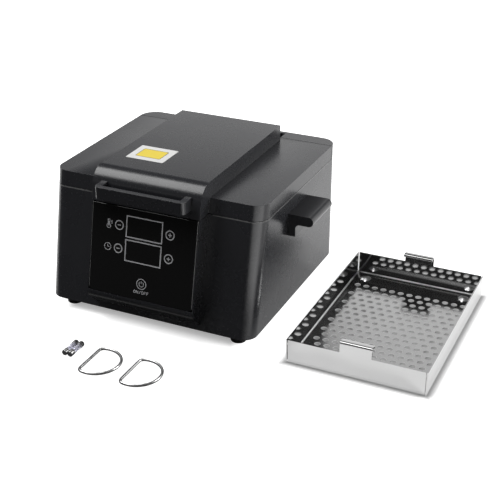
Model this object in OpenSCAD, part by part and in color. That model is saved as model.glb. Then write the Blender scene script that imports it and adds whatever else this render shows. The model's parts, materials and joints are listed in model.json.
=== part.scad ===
// Bench-top dry-heat box oven: tapered housing with a raised control console, a hinged lid with a
// central ridge, a stainless chamber, and the perforated tray, lifting rings and spare fuses that
// lie beside it. Millimetres, +Z up, origin on the floor under the middle of the housing.

/* [Housing] */
// Width of the housing across its top
body_w = 208; // [190:1:225]
// Depth of the housing at its bottom edge
body_d = 201; // [190:1:215]
// Height of the housing, from its bottom edge to the top of the lid's wings
body_h = 117.4; // [114:0.1:130]
// Wall of the moulded housing and lid
wall = 2.5; // [2:0.1:2.8]
// How far each side leans in from top to bottom
side_draft = 1; // [0:0.1:1.5]
// How far the front leans back from bottom to top
front_lean = 25.2; // [20:0.1:26]
// How far the back leans in from bottom to top
rear_lean = 3; // [0:0.5:4]
// Radius of the two upright front corners
front_corner_r = 13; // [12:1:22]
// Radius of the two upright back corners
rear_corner_r = 16; // [12:1:20]
// Thickness of the deck round the chamber
deck_t = 2.5; // [2:0.1:3]

/* [Console] */
// Width of the raised console and of the lid's ridge
console_w = 106; // [104:1:112]
// How far the console stands in front of the housing
console_proud = 16.5; // [14:0.5:18]
// Height of the console's lower end above the housing's bottom edge
console_foot_h = 19; // [14:1:22]
// Radius of the console's lower edge
console_edge_r = 8; // [4:1:9]
// Height of the chin's foot above the housing's bottom edge
chin_foot_h = 5; // [4:1:8]
// Width of the glass panel
glass_w = 104; // [98:0.5:104]
// Thickness of the glass panel
glass_t = 3; // [2:0.5:4]
// Height of the glass panel's lower edge above the housing's bottom edge
glass_foot_h = 24; // [22:0.5:26]
// Radius of the glass panel's lower corners
glass_corner_r = 4; // [2:0.5:6]

/* [Lid] */
// Height of the lid's lower edge above the housing's bottom edge
seam_h = 103.4; // [102:0.1:104]
// Gap at the seam between lid and housing
seam_gap = 0.5; // [0.4:0.1:0.8]
// Distance of the groove behind the lid from the housing's back edge
groove_from_back = 19.9; // [19.5:0.1:20.5]
// Width of that groove
groove_gap = 0.6; // [0.5:0.1:1]
// Height of the ridge above the wings
ridge_rise = 14.4; // [12:0.1:18]
// Radius of the roll along the ridge's front edge
ridge_roll_r = 16.5; // [12:0.5:17]
// How far the ridge's back wall stops short of the groove
ridge_short = 4.6; // [4.6:0.1:5.6]
// Highest opening angle of the lid
lid_open = 80; // [60:1:80]

/* [Pull handle] */
// Width of the pull handle
pull_w = 88; // [70:1:96]
// Height of the pull handle's bar
pull_h = 11; // [8:0.5:12]
// Thickness of the bar
pull_bar_t = 5; // [4:0.5:6]
// Reach of the handle in front of the ridge
pull_reach = 13.5; // [12:0.5:18]
// Width of each leg of the handle
pull_leg_w = 6; // [5:0.5:8]
// Radius of the handle's outer corners
pull_corner_r = 5; // [2:0.5:5]
// Height of the handle's lower edge above the seam
pull_above_seam = 7.6; // [6:0.1:8]

/* [Side handles] */
// Length of each side handle along the wall
grip_len = 46; // [36:1:60]
// Place of the side handles' middle along the wall
grip_y = -0.5; // [-10:0.5:10]
// Height of the side handles' lower edge above the housing's bottom edge
grip_foot_h = 69.2; // [60:0.1:72]
// Height of each side handle
grip_h = 21; // [19:0.5:24]
// Thickness of the part that lies on the wall
grip_flange_t = 7; // [5:0.5:9]
// Thickness of the shelf
grip_shelf_t = 9.2; // [7:0.2:10]
// Reach of the shelf from the wall
grip_reach = 23.8; // [20:0.1:30]
// Radius of the fillet under the shelf
grip_fillet_r = 4; // [2:0.5:5]

/* [Feet] */
// Height of the rubber feet
foot_h = 9; // [8:0.5:12]
// Diameter of the rubber feet
foot_d = 16; // [14:0.5:18]
// Distance of the foot centres from the housing's sides
foot_from_side = 19.5; // [17:0.5:22]
// Distance of the foot centres from the housing's front and back
foot_from_end = 14; // [13:0.5:18]

/* [Chamber] */
// Distance of the chamber's inside walls from the housing's sides
tub_from_side = 11.5; // [9.5:0.5:13]
// Distance of the chamber's inside walls from the housing's front and back, taken together
tub_end_room = 74; // [73:0.5:76]
// Depth of the chamber below its flange
tub_depth = 52; // [45:1:54]
// Thickness of the chamber's sheet
tub_t = 1; // [0.8:0.1:1.2]
// Radius of the chamber's upright corners
tub_corner_r = 8; // [4:1:9]
// Width of the flange that lies on the deck
flange_w = 4; // [3:0.5:4.5]
// Place of the chamber's middle, from the middle of the housing
tub_y = 2.5; // [2:0.5:3]

/* [Hinge] */
// Diameter of the hinge pin
pin_d = 4; // [3:0.5:5]
// Diameter of the hinge knuckles
knuckle_d = 10; // [9:0.5:11]
// Length of the hinge pin
pin_len = 94; // [80:1:96]
// Length of the fixed knuckle in the middle
fixed_knuckle_len = 24; // [16:1:30]
// Radial play of the lid's knuckles on the pin
pin_play = 0.06; // [0.04:0.01:0.1]
// Gap between the fixed knuckle and the lid's knuckles
hinge_gap = 0.4; // [0.3:0.1:0.8]

/* [Mains inlet] */
// Width of the inlet's flange
inlet_flange_w = 34; // [32:1:38]
// Height of the inlet's flange
inlet_flange_h = 46; // [46:1:50]
// Distance of the inlet's flange from where the back corner starts to turn
inlet_from_corner = 5; // [2:0.5:8]
// Travel of the fuse drawer
drawer_travel = 16; // [10:1:18]

/* [Tray] */
// Outside width of the tray
tray_w = 123.5; // [110:0.5:124]
// Outside length of the tray
tray_l = 181.5; // [160:0.5:182]
// Height of the tray's walls
tray_h = 22; // [16:1:30]
// Thickness of the tray's sheet
tray_t = 1; // [0.8:0.1:1.2]
// Place of the tray's middle across the floor
tray_x = 198; // [192:0.5:230]
// Place of the tray's middle along the floor
tray_y = -11.5; // [-40:0.5:20]
// Diameter of the holes in the tray's floor
hole_d = 5.8; // [4:0.1:6.4]
// Spacing of the holes along a row
hole_pitch = 8.6; // [8.2:0.1:12]
// Spacing of the rows of holes
row_pitch = 9; // [8.4:0.1:12]
// Bare margin beyond the first and last row
row_margin = 24; // [20:1:30]
// Bare margin beside the holes
side_margin = 6; // [4:0.5:10]
// Width of the tray's two tabs
tab_w = 28; // [20:1:40]
// Height of the tabs above the walls
tab_h = 10; // [6:0.5:14]
// Depth of the flap at the top of each tab
tab_flap = 7; // [3:0.5:8]
// Diameter of the pressed domes at the tray's corners
dome_d = 12; // [8:0.5:13]
// Distance of the domes' middle from the tray's walls
dome_from_wall = 13.5; // [11:0.5:15]

/* [Loose rings and fuses] */
// Diameter of the ring's wire
wire_d = 2.6; // [1.5:0.1:3]
// Outside radius of the ring's bow
ring_r = 21.2; // [16:0.1:22]
// Distance of the ring's straight side from the bow's centre
ring_flat = 9.5; // [6:0.1:12]
// Length of a glass fuse
fuse_len = 20; // [18:0.5:30]
// Diameter of a glass fuse's caps
fuse_d = 5.2; // [4.6:0.1:5.2]

/* [Hidden] */
$fn = 64;
groove_y = body_d / 2 - groove_from_back;
ridge_back_y = groove_y - ridge_short;
foot_span_x = body_w - 2 * foot_from_side;
foot_span_y = body_d - 2 * foot_from_end;
tub_w = body_w - 2 * tub_from_side;
tub_l = body_d - tub_end_room;
inlet_x = body_w / 2 - rear_corner_r - inlet_from_corner - inlet_flange_w / 2;

// Heights of the main levels
z_base = foot_h;
z_seam = z_base + seam_h;
z_lid = z_seam + seam_gap;
z_top = z_base + body_h;
z_ridge = z_top + ridge_rise;

// The housing tapers in straight lines, so each face's place follows from the height
function level(z) = (z - z_base) / body_h;
function half_w(z) = body_w / 2 - side_draft * (1 - level(z));
function front_y(z) = -body_d / 2 + front_lean * level(z);
function rear_y(z) = body_d / 2 - rear_lean * level(z);
function console_y(z) = front_y(z) - console_proud;
lean = atan(front_lean / body_h);
rear_tilt = atan(rear_lean / body_h);

// Points of an arc that rounds the corner b between the neighbours a and c
function unit(v) = v / norm(v);
function rounded(a, b, c, r, n = 12) =
    let (u = unit(a - b), v = unit(c - b), half = acos(u * v) / 2,
         centre = b + unit(u + v) * r / sin(half),
         p = b + u * r / tan(half), q = b + v * r / tan(half),
         a0 = atan2(p[1] - centre[1], p[0] - centre[0]),
         turn = atan2(q[1] - centre[1], q[0] - centre[0]) - a0,
         sweep = turn > 180 ? turn - 360 : turn < -180 ? turn + 360 : turn)
    [for (i = [0:n]) centre + r * [cos(a0 + sweep * i / n), sin(a0 + sweep * i / n)]];

// Flat outline with four round corners, from plain squares and circles
module rounded_rect(w, l, r) {
    square([w - 2 * r, l], center = true);
    square([w, l - 2 * r], center = true);
    for (sx = [-1, 1], sy = [-1, 1])
        translate([sx * (w / 2 - r), sy * (l / 2 - r)]) circle(r);
}

module rounded_block(w, l, h, r) linear_extrude(h) rounded_rect(w, l, r);

// A profile in Y and Z, drawn out along X about the middle
module along_x(points, w)
    translate([-w / 2, 0, 0]) rotate([90, 0, 90]) linear_extrude(w) polygon(points);

// Plain block between two corners
module block(low, high) translate(low) cube(high - low);

// Small bore or pin along Z
module bore(d, h) cylinder(d = d, h = h, $fn = 24);

// Pan-head screw along -Z: the head, [diameter, height], stands on the origin and the shank goes down
large_head = [6, 2];
flat_head = [6, 1];
pan_head = [5.6, 1.6];
small_head = [5, 1.2];
tiny_head = [4, 1.4];
module screw(shank_d, shank_len, head) {
    cylinder(d = head[0], h = head[1], $fn = 32);
    translate([0, 0, -shank_len]) bore(shank_d, shank_len);
}

// The tapered body between two heights, moved in by inset on every side: each section is a
// rectangle with four round corners, and every section has the same number of points
corner_steps = 12;
function corner_arc(centre, r, from) =
    [for (i = [0:corner_steps]) let (a = from + 90 * i / corner_steps)
        [centre[0] + r * cos(a), centre[1] + r * sin(a), centre[2]]];
function section(z, inset) =
    let (x_front = half_w(z) - front_corner_r, x_rear = half_w(z) - rear_corner_r,
         y_front = front_y(z) + front_corner_r, y_rear = rear_y(z) - rear_corner_r)
    concat(corner_arc([x_rear, y_rear, z], rear_corner_r - inset, 0),
           corner_arc([-x_rear, y_rear, z], rear_corner_r - inset, 90),
           corner_arc([-x_front, y_front, z], front_corner_r - inset, 180),
           corner_arc([x_front, y_front, z], front_corner_r - inset, 270));
module tapered(z0, z1, inset) {
    n = 4 * (corner_steps + 1);
    polyhedron(
        points = concat(section(z0, inset), section(z1, inset)),
        faces = concat([[for (i = [0:n - 1]) i]], [[for (i = [0:n - 1]) 2 * n - 1 - i]],
                       [for (i = [0:n - 1]) [i, n + i, n + (i + 1) % n, (i + 1) % n]]));
}

// Frame on the console's front plane: Z runs up the plane and Y into the housing
z_glass = z_base + glass_foot_h;
module on_console() translate([0, console_y(z_glass), z_glass]) rotate([-lean, 0, 0]) children();
function up_console(z) = (z - z_glass) / cos(lean);

// Frame on the back wall at a height: Y points out of the housing
module on_back(x, z) translate([x, rear_y(z), z]) rotate([rear_tilt, 0, 0]) children();

// ---- Housing ----
strip_y = groove_y + groove_gap;
notch_w = console_w - 4;
notch_depth_y = 12;
notch_depth_z = 8;
notch_back_y = strip_y + notch_depth_y;
z_notch = z_top - notch_depth_z;

console_chin = [front_y(z_base + chin_foot_h), z_base + chin_foot_h];
console_low = [console_y(z_base + console_foot_h), z_base + console_foot_h];
console_high = [console_y(z_seam), z_seam];
console_outline = concat(
    [console_high], rounded(console_high, console_low, console_chin, console_edge_r),
    [console_chin, [front_y(z_base + chin_foot_h) + wall, z_base + chin_foot_h + wall],
     [front_y(z_seam) + wall, z_seam]]);

pocket_play = 0.2;
console_skin = glass_t + pocket_play + wall;
cavity_in = front_y(z_base + console_foot_h) + 2 * wall;
cavity_low = z_base + console_foot_h + wall;
console_cavity = [
    [console_y(z_seam - deck_t) + console_skin / cos(lean), z_seam - deck_t],
    [console_y(cavity_low) + console_skin / cos(lean), cavity_low],
    [cavity_in, cavity_low],
    [front_y(z_seam) + 2 * wall, z_seam - deck_t]];

glass_top = z_seam - seam_gap;
glass_len = up_console(glass_top);

boss_from_side = 14;
boss_from_end = 32.5;
boss_x = body_w / 2 - boss_from_side;
boss_y = body_d / 2 - boss_from_end;
boss_d = 8;
boss_h = 24;
plate_t = 1.5;
z_plate = z_base + plate_t;
base_screw_d = 3;

grip_screw_d = 3;
grip_screw_gap = 30;
z_grip = z_base + grip_foot_h;
z_grip_screw = z_grip + 6;
grip_seat = 0.05;

seat_play = 0.3;
tub_outer_w = tub_w + 2 * tub_t;
tub_outer_l = tub_l + 2 * tub_t;
flange_outer_w = tub_outer_w + 2 * seat_play + 2 * flange_w;
flange_outer_l = tub_outer_l + 2 * seat_play + 2 * flange_w;
z_flange = z_seam + tub_t;
z_tub = z_flange - tub_depth - tub_t;

inlet_depth = 18;
inlet_body_w = 28;
inlet_body_h = 36;
z_inlet = z_base + 29;
bracket_screw_d = 3;
bracket_screw_x = [-30, 30];

module inlet_cut() on_back(inlet_x, z_inlet)
    block([-inlet_body_w / 2 - seat_play, -wall - 2, -inlet_body_h / 2 - seat_play],
          [inlet_body_w / 2 + seat_play, 2, inlet_body_h / 2 + seat_play]);

module grip_bores(length, inside)
    for (side = [-1, 1], dy = [-1, 1])
        translate([side * (half_w(z_grip_screw) - inside), grip_y + dy * grip_screw_gap / 2, z_grip_screw])
            rotate([0, side * 90, 0]) bore(grip_screw_d, length);

module housing_cavity() {
    difference() {
        tapered(z_base - 1, z_top, wall);
        block([-body_w, -body_d, z_seam - deck_t], [body_w, strip_y + wall, z_top + 1]);
        block([-body_w, -body_d, z_top - wall], [body_w, body_d, z_top + 1]);
        block([-notch_w / 2 - wall, -body_d, z_notch - wall],
              [notch_w / 2 + wall, notch_back_y + wall, z_top + 1]);
    }
    along_x(console_cavity, console_w - 2 * wall);
}

// Openings for the displays and the touch springs, in the console's frame
window_w = glass_w - 20;
window_low = 8;
window_high = 75;

module housing() color("#26272a") difference() {
    union() {
        difference() {
            union() {
                difference() {
                    tapered(z_base, z_top, 0);
                    block([-body_w, -body_d, z_seam], [body_w, strip_y, z_top + 1]);
                }
                along_x(console_outline, console_w);
            }
            housing_cavity();
        }
        for (side = [-1, 1], fore = [-1, 1])
            difference() {
                union() {
                    translate([side * boss_x, fore * boss_y, z_plate]) cylinder(d = boss_d, h = boss_h);
                    translate([side * (boss_x + half_w(z_base) - wall / 2) / 2, fore * boss_y,
                               z_plate + boss_h / 2])
                        cube([half_w(z_base) - wall / 2 - boss_x, wall, boss_h], center = true);
                }
                translate([side * boss_x, fore * boss_y, z_plate - 1])
                    bore(base_screw_d, boss_h - 2);
            }
    }
    translate([0, tub_y, z_seam - deck_t - 1])
        rounded_block(tub_outer_w + 2 * seat_play, tub_outer_l + 2 * seat_play, deck_t + 2,
                      tub_corner_r + tub_t + seat_play);
    block([-notch_w / 2, strip_y - 1, z_notch], [notch_w / 2, notch_back_y, z_top + 1]);
    on_console() {
        block([-glass_w / 2 - pocket_play, -2, -pocket_play],
              [glass_w / 2 + pocket_play, glass_t + pocket_play, glass_len + 4]);
        block([-window_w / 2, 0, window_low], [window_w / 2, console_skin + 1, window_high]);
        for (p = board_holes)
            translate([p[0], glass_t, p[1]]) rotate([-90, 0, 0]) bore(board_screw_d, wall + 2);
    }
    inlet_cut();
    for (dz = [-1, 1])
        on_back(inlet_x, z_inlet) translate([0, 2, dz * inlet_screw_gap / 2])
            rotate([90, 0, 0]) bore(inlet_screw_d, wall + 4);
    grip_bores(wall + 2, wall + 1);
    for (x = bracket_screw_x)
        translate([x, hinge_y, z_notch - wall - 1]) bore(bracket_screw_d, wall + 2);
}

plate_play = 0.4;
plate_w = 2 * (half_w(z_base) - wall - plate_play);
plate_l = body_d - 2 * (wall + plate_play);
plate_corner_r = max(front_corner_r, rear_corner_r) - wall;
vent = [4, 30];
vents_each_side = 5;
vent_pitch = 11;
vent_y = 42;
module base_plate() color("#8d9094") difference() {
    translate([0, 0, z_base]) rounded_block(plate_w, plate_l, plate_t, plate_corner_r);
    for (side = [-1, 1], fore = [-1, 1]) {
        translate([side * boss_x, fore * boss_y, z_base - 1]) bore(base_screw_d, plate_t + 2);
        translate([side * foot_span_x / 2, fore * foot_span_y / 2, z_base - 1])
            bore(foot_screw_d, plate_t + 2);
    }
    for (i = [-vents_each_side:vents_each_side], fore = [-1, 1])
        translate([i * vent_pitch, fore * vent_y, z_base])
            cube([vent[0], vent[1], 3 * plate_t], center = true);
}

module base_screws() color("#b8babd")
    for (side = [-1, 1], fore = [-1, 1])
        translate([side * boss_x, fore * boss_y, z_base]) rotate([180, 0, 0])
            screw(base_screw_d, plate_t + 10, large_head);

foot_screw_d = 3;
foot_recess_d = 8;
foot_recess_h = 4;
module at_feet()
    for (side = [-1, 1], fore = [-1, 1])
        translate([side * foot_span_x / 2, fore * foot_span_y / 2, 0]) children();

module feet() color("#1b1b1c") at_feet() difference() {
    cylinder(d1 = foot_d - 2, d2 = foot_d, h = foot_h);
    translate([0, 0, -1]) cylinder(d = foot_recess_d, h = foot_recess_h + 1);
    bore(foot_screw_d, foot_h + 1);
}

module foot_screws() color("#b8babd") at_feet()
    translate([0, 0, foot_recess_h]) rotate([180, 0, 0])
        screw(foot_screw_d, foot_h - foot_recess_h + plate_t + 4, large_head);

// ---- Side handles: an inverted L with a round tip, standing on the wall ----
module side_handle(side) color("#202123") {
    z_shelf = z_grip + grip_h - grip_shelf_t;
    tip_r = grip_shelf_t / 2;
    x_wall = half_w(z_grip_screw);
    x_tip = x_wall + grip_reach;
    inner = [x_wall + grip_flange_t, z_shelf];
    difference() {
        translate([0, grip_y + grip_len / 2, 0]) rotate([90, 0, 0]) linear_extrude(grip_len)
            mirror([side < 0 ? 1 : 0, 0]) {
                polygon(concat(
                    [[half_w(z_grip) + grip_seat, z_grip], [inner[0], z_grip]],
                    rounded([inner[0], z_grip], inner, [x_tip, z_shelf], grip_fillet_r),
                    [[x_tip - tip_r, z_shelf], [x_tip - tip_r, z_shelf + grip_shelf_t],
                     [half_w(z_shelf + grip_shelf_t) + grip_seat, z_shelf + grip_shelf_t]]));
                translate([x_tip - tip_r, z_shelf + tip_r]) circle(tip_r);
            }
        grip_bores(wall + grip_flange_t - 1, wall);
    }
}
module right_side_handle() side_handle(1);
module left_side_handle() side_handle(-1);

grip_head_x = half_w(z_grip_screw) - wall - grip_seat;
module side_handle_screws() color("#b8babd")
    for (side = [-1, 1], dy = [-1, 1])
        translate([side * grip_head_x, grip_y + dy * grip_screw_gap / 2, z_grip_screw])
            rotate([0, -side * 90, 0]) screw(grip_screw_d, wall + 4, flat_head);

// ---- Control panel ----
glass_play = 0.1;
board_screw_d = 2;
board_t = 1.6;
board_w = glass_w - 6;
board_low = 3;
board_high = 78;
spacer_len = 6;
spacer_d = 4.4;
board_y = console_skin + spacer_len;
board_hole_in = 2.5;
board_holes = [for (x = [-1, 1], z = [board_low + board_hole_in, board_high - board_hole_in])
    [x * (board_w / 2 - board_hole_in), z]];

// Displays and keys, as seen from the front: [middle across, middle up the panel]
display_x = 0.8;
display_w = 36;
display_h = 19.4;
time_z = 42.7;
temperature_z = 64.3;
key_left = -24;
key_right = 26;
power_key = [1.2, 14.8];
keys = concat([for (x = [key_left, key_right], z = [time_z, temperature_z]) [x, z]], [power_key]);

module glass_panel() color("#08090a") on_console()
    difference() {
        block([-glass_w / 2, 0, 0], [glass_w / 2, glass_t, glass_len]);
        for (side = [-1, 1])
            translate([side * (glass_w / 2 - glass_corner_r), 0, glass_corner_r])
                difference() {
                    translate([side > 0 ? 0 : -2 * glass_corner_r, -1, -2 * glass_corner_r])
                        cube([2 * glass_corner_r, glass_t + 2, 2 * glass_corner_r]);
                    translate([0, -2, 0]) rotate([-90, 0, 0]) cylinder(r = glass_corner_r, h = glass_t + 4);
                }
    }

module control_board() color("#1f5a36") on_console() difference() {
    block([-board_w / 2, board_y, board_low], [board_w / 2, board_y + board_t, board_high]);
    for (p = board_holes)
        translate([p[0], board_y - 1, p[1]]) rotate([-90, 0, 0]) bore(board_screw_d, board_t + 2);
}

module board_spacers() color("#c9b26a") on_console()
    for (p = board_holes)
        translate([p[0], console_skin, p[1]]) rotate([-90, 0, 0]) difference() {
            bore(spacer_d, spacer_len);
            translate([0, 0, -1]) bore(board_screw_d, spacer_len + 2);
        }

module board_screws() color("#b8babd") on_console()
    for (p = board_holes)
        translate([p[0], board_y + board_t, p[1]]) rotate([-90, 0, 0])
            screw(board_screw_d, board_t + spacer_len + 2, tiny_head);

behind_glass = glass_t + pocket_play + glass_play;
module display(z) on_console()
    block([display_x - display_w / 2, behind_glass, z - display_h / 2],
          [display_x + display_w / 2, board_y, z + display_h / 2]);
module temperature_display() color("#2b1512") display(temperature_z);
module time_display() color("#2b1512") display(time_z);

spring_d = 6;
spring_wire_d = 0.5;
module touch_springs() color("#c9b26a") on_console()
    for (k = keys)
        translate([k[0], behind_glass, k[1]]) rotate([-90, 0, 0]) difference() {
            cylinder(d = spring_d, h = board_y - behind_glass, $fn = 32);
            translate([0, 0, -1]) cylinder(d = spring_d - 2 * spring_wire_d, h = board_y, $fn = 32);
        }

// ---- Chamber ----
module chamber_tub() color("#c4c6c8") translate([0, tub_y, 0]) difference() {
    union() {
        translate([0, 0, z_seam])
            rounded_block(flange_outer_w, flange_outer_l, tub_t, tub_corner_r);
        translate([0, 0, z_tub])
            rounded_block(tub_outer_w, tub_outer_l, tub_depth + tub_t, tub_corner_r + tub_t);
    }
    translate([0, 0, z_tub + tub_t]) rounded_block(tub_w, tub_l, tub_depth + 1, tub_corner_r);
}

heater_t = 5;
heater_corner_r = 6;
heater_margin_x = 17.5;
heater_margin_y = 13.5;
heater_w = tub_w - 2 * heater_margin_x;
heater_l = tub_l - 2 * heater_margin_y;
probe_d = 4;
probe_bore = 30;
probe_end_room = 3.5;
probe_end_x = tub_outer_w / 2 - probe_end_room;
probe_x = heater_w / 2 - probe_bore;
probe_from_back = 14;
probe_y = tub_y + heater_l / 2 - probe_from_back;
z_heater = z_tub - heater_t;
module heater_plate() color("#9fa2a5") difference() {
    translate([0, tub_y, z_heater]) rounded_block(heater_w, heater_l, heater_t, heater_corner_r);
    translate([probe_x, probe_y, z_heater + heater_t / 2]) rotate([0, 90, 0])
        cylinder(d = probe_d + 0.1, h = probe_bore + 1, $fn = 32);
}

module temperature_probe() color("#d0d2d4")
    translate([probe_x, probe_y, z_heater + heater_t / 2]) rotate([0, 90, 0])
        cylinder(d = probe_d, h = probe_end_x - probe_x, $fn = 32);

element_d = 6.5;
element_r = 26;
element_margin = 15;
element_pin_d = 3;
contact_gap = 0.1;
z_element = z_heater - element_d / 2 - contact_gap;
element_x0 = -heater_w / 2 + element_margin;
element_pin_x = element_x0 + element_d / 2;
element_len = heater_w - 2 * element_margin - element_r - element_d / 2;
jacket_floor_t = 5.5;
z_pocket = z_element - element_d / 2 - 1;
z_jacket = z_pocket - jacket_floor_t;
shield_t = 1;
z_shield = z_jacket - shield_t - 0.2;
pin_drop = 5;
module heating_element() color("#7d7f80") translate([0, tub_y, z_element]) {
    for (side = [-1, 1]) {
        translate([element_x0, side * element_r, 0]) rotate([0, 90, 0])
            cylinder(d = element_d, h = element_len);
        translate([element_pin_x, side * element_r, 0]) rotate([180, 0, 0])
            bore(element_pin_d, z_element - z_shield + pin_drop);
    }
    translate([element_x0 + element_len, 0, 0]) rotate([0, 0, -90])
        rotate_extrude(angle = 180) translate([element_r, 0]) circle(d = element_d);
}

cutout_d = 16;
module thermal_cutout() color("#33363a")
    translate([0, tub_y, z_pocket + contact_gap])
        cylinder(d = cutout_d, h = z_heater - z_pocket - 2 * contact_gap);

jacket_play = 1;
jacket_w = 2 * (half_w(z_jacket) - wall - jacket_play);
jacket_front_y = front_y(z_seam - deck_t) + wall + 1.8;
jacket_back_y = strip_y - 4.5;
jacket_l = jacket_back_y - jacket_front_y;
jacket_mid_y = (jacket_back_y + jacket_front_y) / 2;
z_jacket_top = z_seam - deck_t - seat_play;
module pin_holes(z, h)
    for (side = [-1, 1])
        translate([element_pin_x, tub_y + side * element_r, z])
            cylinder(d = element_pin_d + 2, h = h, $fn = 32);

module wool_jacket() color("#d8d2bc") difference() {
    translate([0, jacket_mid_y, z_jacket])
        rounded_block(jacket_w, jacket_l, z_jacket_top - z_jacket, front_corner_r - wall - 1.5);
    translate([0, tub_y, z_pocket])
        rounded_block(tub_outer_w + 2 * seat_play, tub_outer_l + 2 * seat_play, z_top,
                      tub_corner_r + tub_t);
    pin_holes(z_jacket - 1, jacket_floor_t + 2);
}

post_from_side = 14.5;
post_from_end = 18.5;
post_x = tub_w / 2 - post_from_side;
post_y = tub_l / 2 - post_from_end;
post_d = 7;
shield_in = 3;
shield_corner_r = 12;
module heat_shield() color("#a5a8ab") difference() {
    translate([0, jacket_mid_y, z_shield])
        rounded_block(jacket_w - 2 * shield_in, jacket_l - 2 * shield_in, shield_t, shield_corner_r);
    pin_holes(z_shield - 1, shield_t + 2);
}

module shield_posts() color("#b8babd")
    for (side = [-1, 1], fore = [-1, 1])
        translate([side * post_x, tub_y + fore * post_y, z_plate])
            cylinder(d = post_d, h = z_shield - z_plate, $fn = 32);

// ---- Power board on the base plate ----
power_w = 100;
power_l = 62;
power_x = -8;
power_from_back = 44.5;
power_y = body_d / 2 - power_from_back;
standoff_h = 7;
z_power = z_plate + standoff_h;
z_on_power = z_power + board_t;
power_hole_in = 4;
power_hole_d = 3;
standoff_d = 6;
power_holes = [for (x = [-1, 1], y = [-1, 1])
    [power_x + x * (power_w / 2 - power_hole_in), power_y + y * (power_l / 2 - power_hole_in)]];

module power_board() color("#1f5a36") difference() {
    translate([power_x - power_w / 2, power_y - power_l / 2, z_power]) cube([power_w, power_l, board_t]);
    for (p = power_holes) translate([p[0], p[1], z_power - 1]) bore(power_hole_d, board_t + 2);
}
module board_standoffs() color("#c9b26a")
    for (p = power_holes) translate([p[0], p[1], z_plate]) {
        cylinder(d = standoff_d, h = standoff_h, $fn = 32);
        bore(power_hole_d - 0.2, standoff_h + board_t + 1);
    }

// Parts that stand on the power board, each at its place from the board's middle
core = [34, 28, 4];
winding = [28, 22, 13];
relay_case = [28, 13, 15];
capacitor_case = [20, 10, 15];
module on_power(at) translate([power_x + at[0], power_y + at[1], z_on_power]) children();
module standing(size) translate([-size[0] / 2, -size[1] / 2, 0]) cube(size);
module transformer() color("#3a3128") on_power([-24, -8]) {
    standing(core);
    translate([0, 0, core[2]]) standing(winding);
}
module relay() color("#27408a") on_power([16, -16]) standing(relay_case);
module capacitor() color("#c9a13a") on_power([12, 6]) standing(capacitor_case);

ways = 6;
way_pitch = 7.5;
way_d = 4;
terminal_w = ways * way_pitch + 3;
terminal_l = 10;
terminal_h = 11;
terminal_at = [2, 22];
module terminal_block() color("#2f7a4d") on_power(terminal_at) difference() {
    standing([terminal_w, terminal_l, terminal_h]);
    for (i = [0:ways - 1])
        translate([(i - (ways - 1) / 2) * way_pitch, 0, terminal_h / 2]) bore(way_d, terminal_h);
}

// ---- Wiring: a flat ribbon to the panel and two leads to the element ----
ribbon_w = 16;
ribbon_t = 1;
ribbon_x = -30;
ribbon_rise = 3;
module ribbon_cable() color("#8b8e92") {
    z_tie = z_glass + (board_low + 6) * cos(lean);
    y_tie = console_y(z_glass) + (board_low + 6) * sin(lean) + (board_y + board_t) / cos(lean);
    y_drop = cavity_in + 1.5;
    y_end = power_y - power_l / 2 - 0.3;
    z_low = z_plate + ribbon_rise;
    translate([ribbon_x, 0, 0]) {
        block([-ribbon_w / 2, y_tie + 0.2, z_tie], [ribbon_w / 2, y_drop, z_tie + ribbon_t]);
        block([-ribbon_w / 2, y_drop - ribbon_t, z_low], [ribbon_w / 2, y_drop, z_tie + ribbon_t]);
        block([-ribbon_w / 2, y_drop - ribbon_t, z_low], [ribbon_w / 2, y_end, z_low + ribbon_t]);
        block([-ribbon_w / 2, y_end - ribbon_t, z_low], [ribbon_w / 2, y_end, z_on_power]);
    }
}

// A wire through a list of points
lead_d = 2.4;
module lead(points)
    for (i = [0:len(points) - 2]) {
        step = points[i + 1] - points[i];
        translate(points[i]) rotate([0, acos(step[2] / norm(step)), atan2(step[1], step[0])])
            cylinder(d = lead_d, h = norm(step), $fn = 16);
        if (i > 0) translate(points[i]) sphere(d = lead_d, $fn = 16);
    }

z_block_top = z_on_power + terminal_h;
module heater_leads() color("#b33a2c") {
    z_low = z_shield - pin_drop;
    z_run = z_low - lead_d;
    x0 = element_x0 + element_d / 2;
    for (side = [-1, 1]) {
        y0 = tub_y + side * element_r;
        x_run = x0 + (side - 1) * 1.8;
        y_run = power_y + terminal_at[1] + side * 2;
        x_end = power_x + terminal_at[0] + (side / 2 - 1.5) * way_pitch;
        lead([[x0, y0, z_low], [x0, y0, z_run], [x_run - 0.1, y0, z_run], [x_run - 0.1, y_run, z_run],
              [x_end, y_run, z_run], [x_end, y_run, z_block_top + 0.1]]);
    }
}

module mains_leads() color("#6d4a2c")
    for (i = [0, 1]) {
        y_back = rear_y(z_inlet) - inlet_depth - 0.3;
        z_lead = z_on_power + 4 + i * 4;
        lead([[inlet_x - 6 + i * 8, y_back + 0.1, z_lead], [inlet_x - 6 + i * 8, y_back - 4, z_lead],
              [power_x + terminal_at[0] + terminal_w / 2 + 0.3, y_back - 4, z_lead]]);
    }

// ---- Mains inlet with the fuse drawer under the socket ----
inlet_flange_t = 2.5;
inlet_screw_d = 3;
inlet_screw_gap = 40;
socket_w = 24.4;
socket_h = 16.6;
socket_depth = 15.5;
socket_up = 7;
drawer_w = 22;
drawer_h = 8.4;
drawer_down = 11;
drawer_play = 0.3;
inlet_pin_gap = 7;

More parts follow.
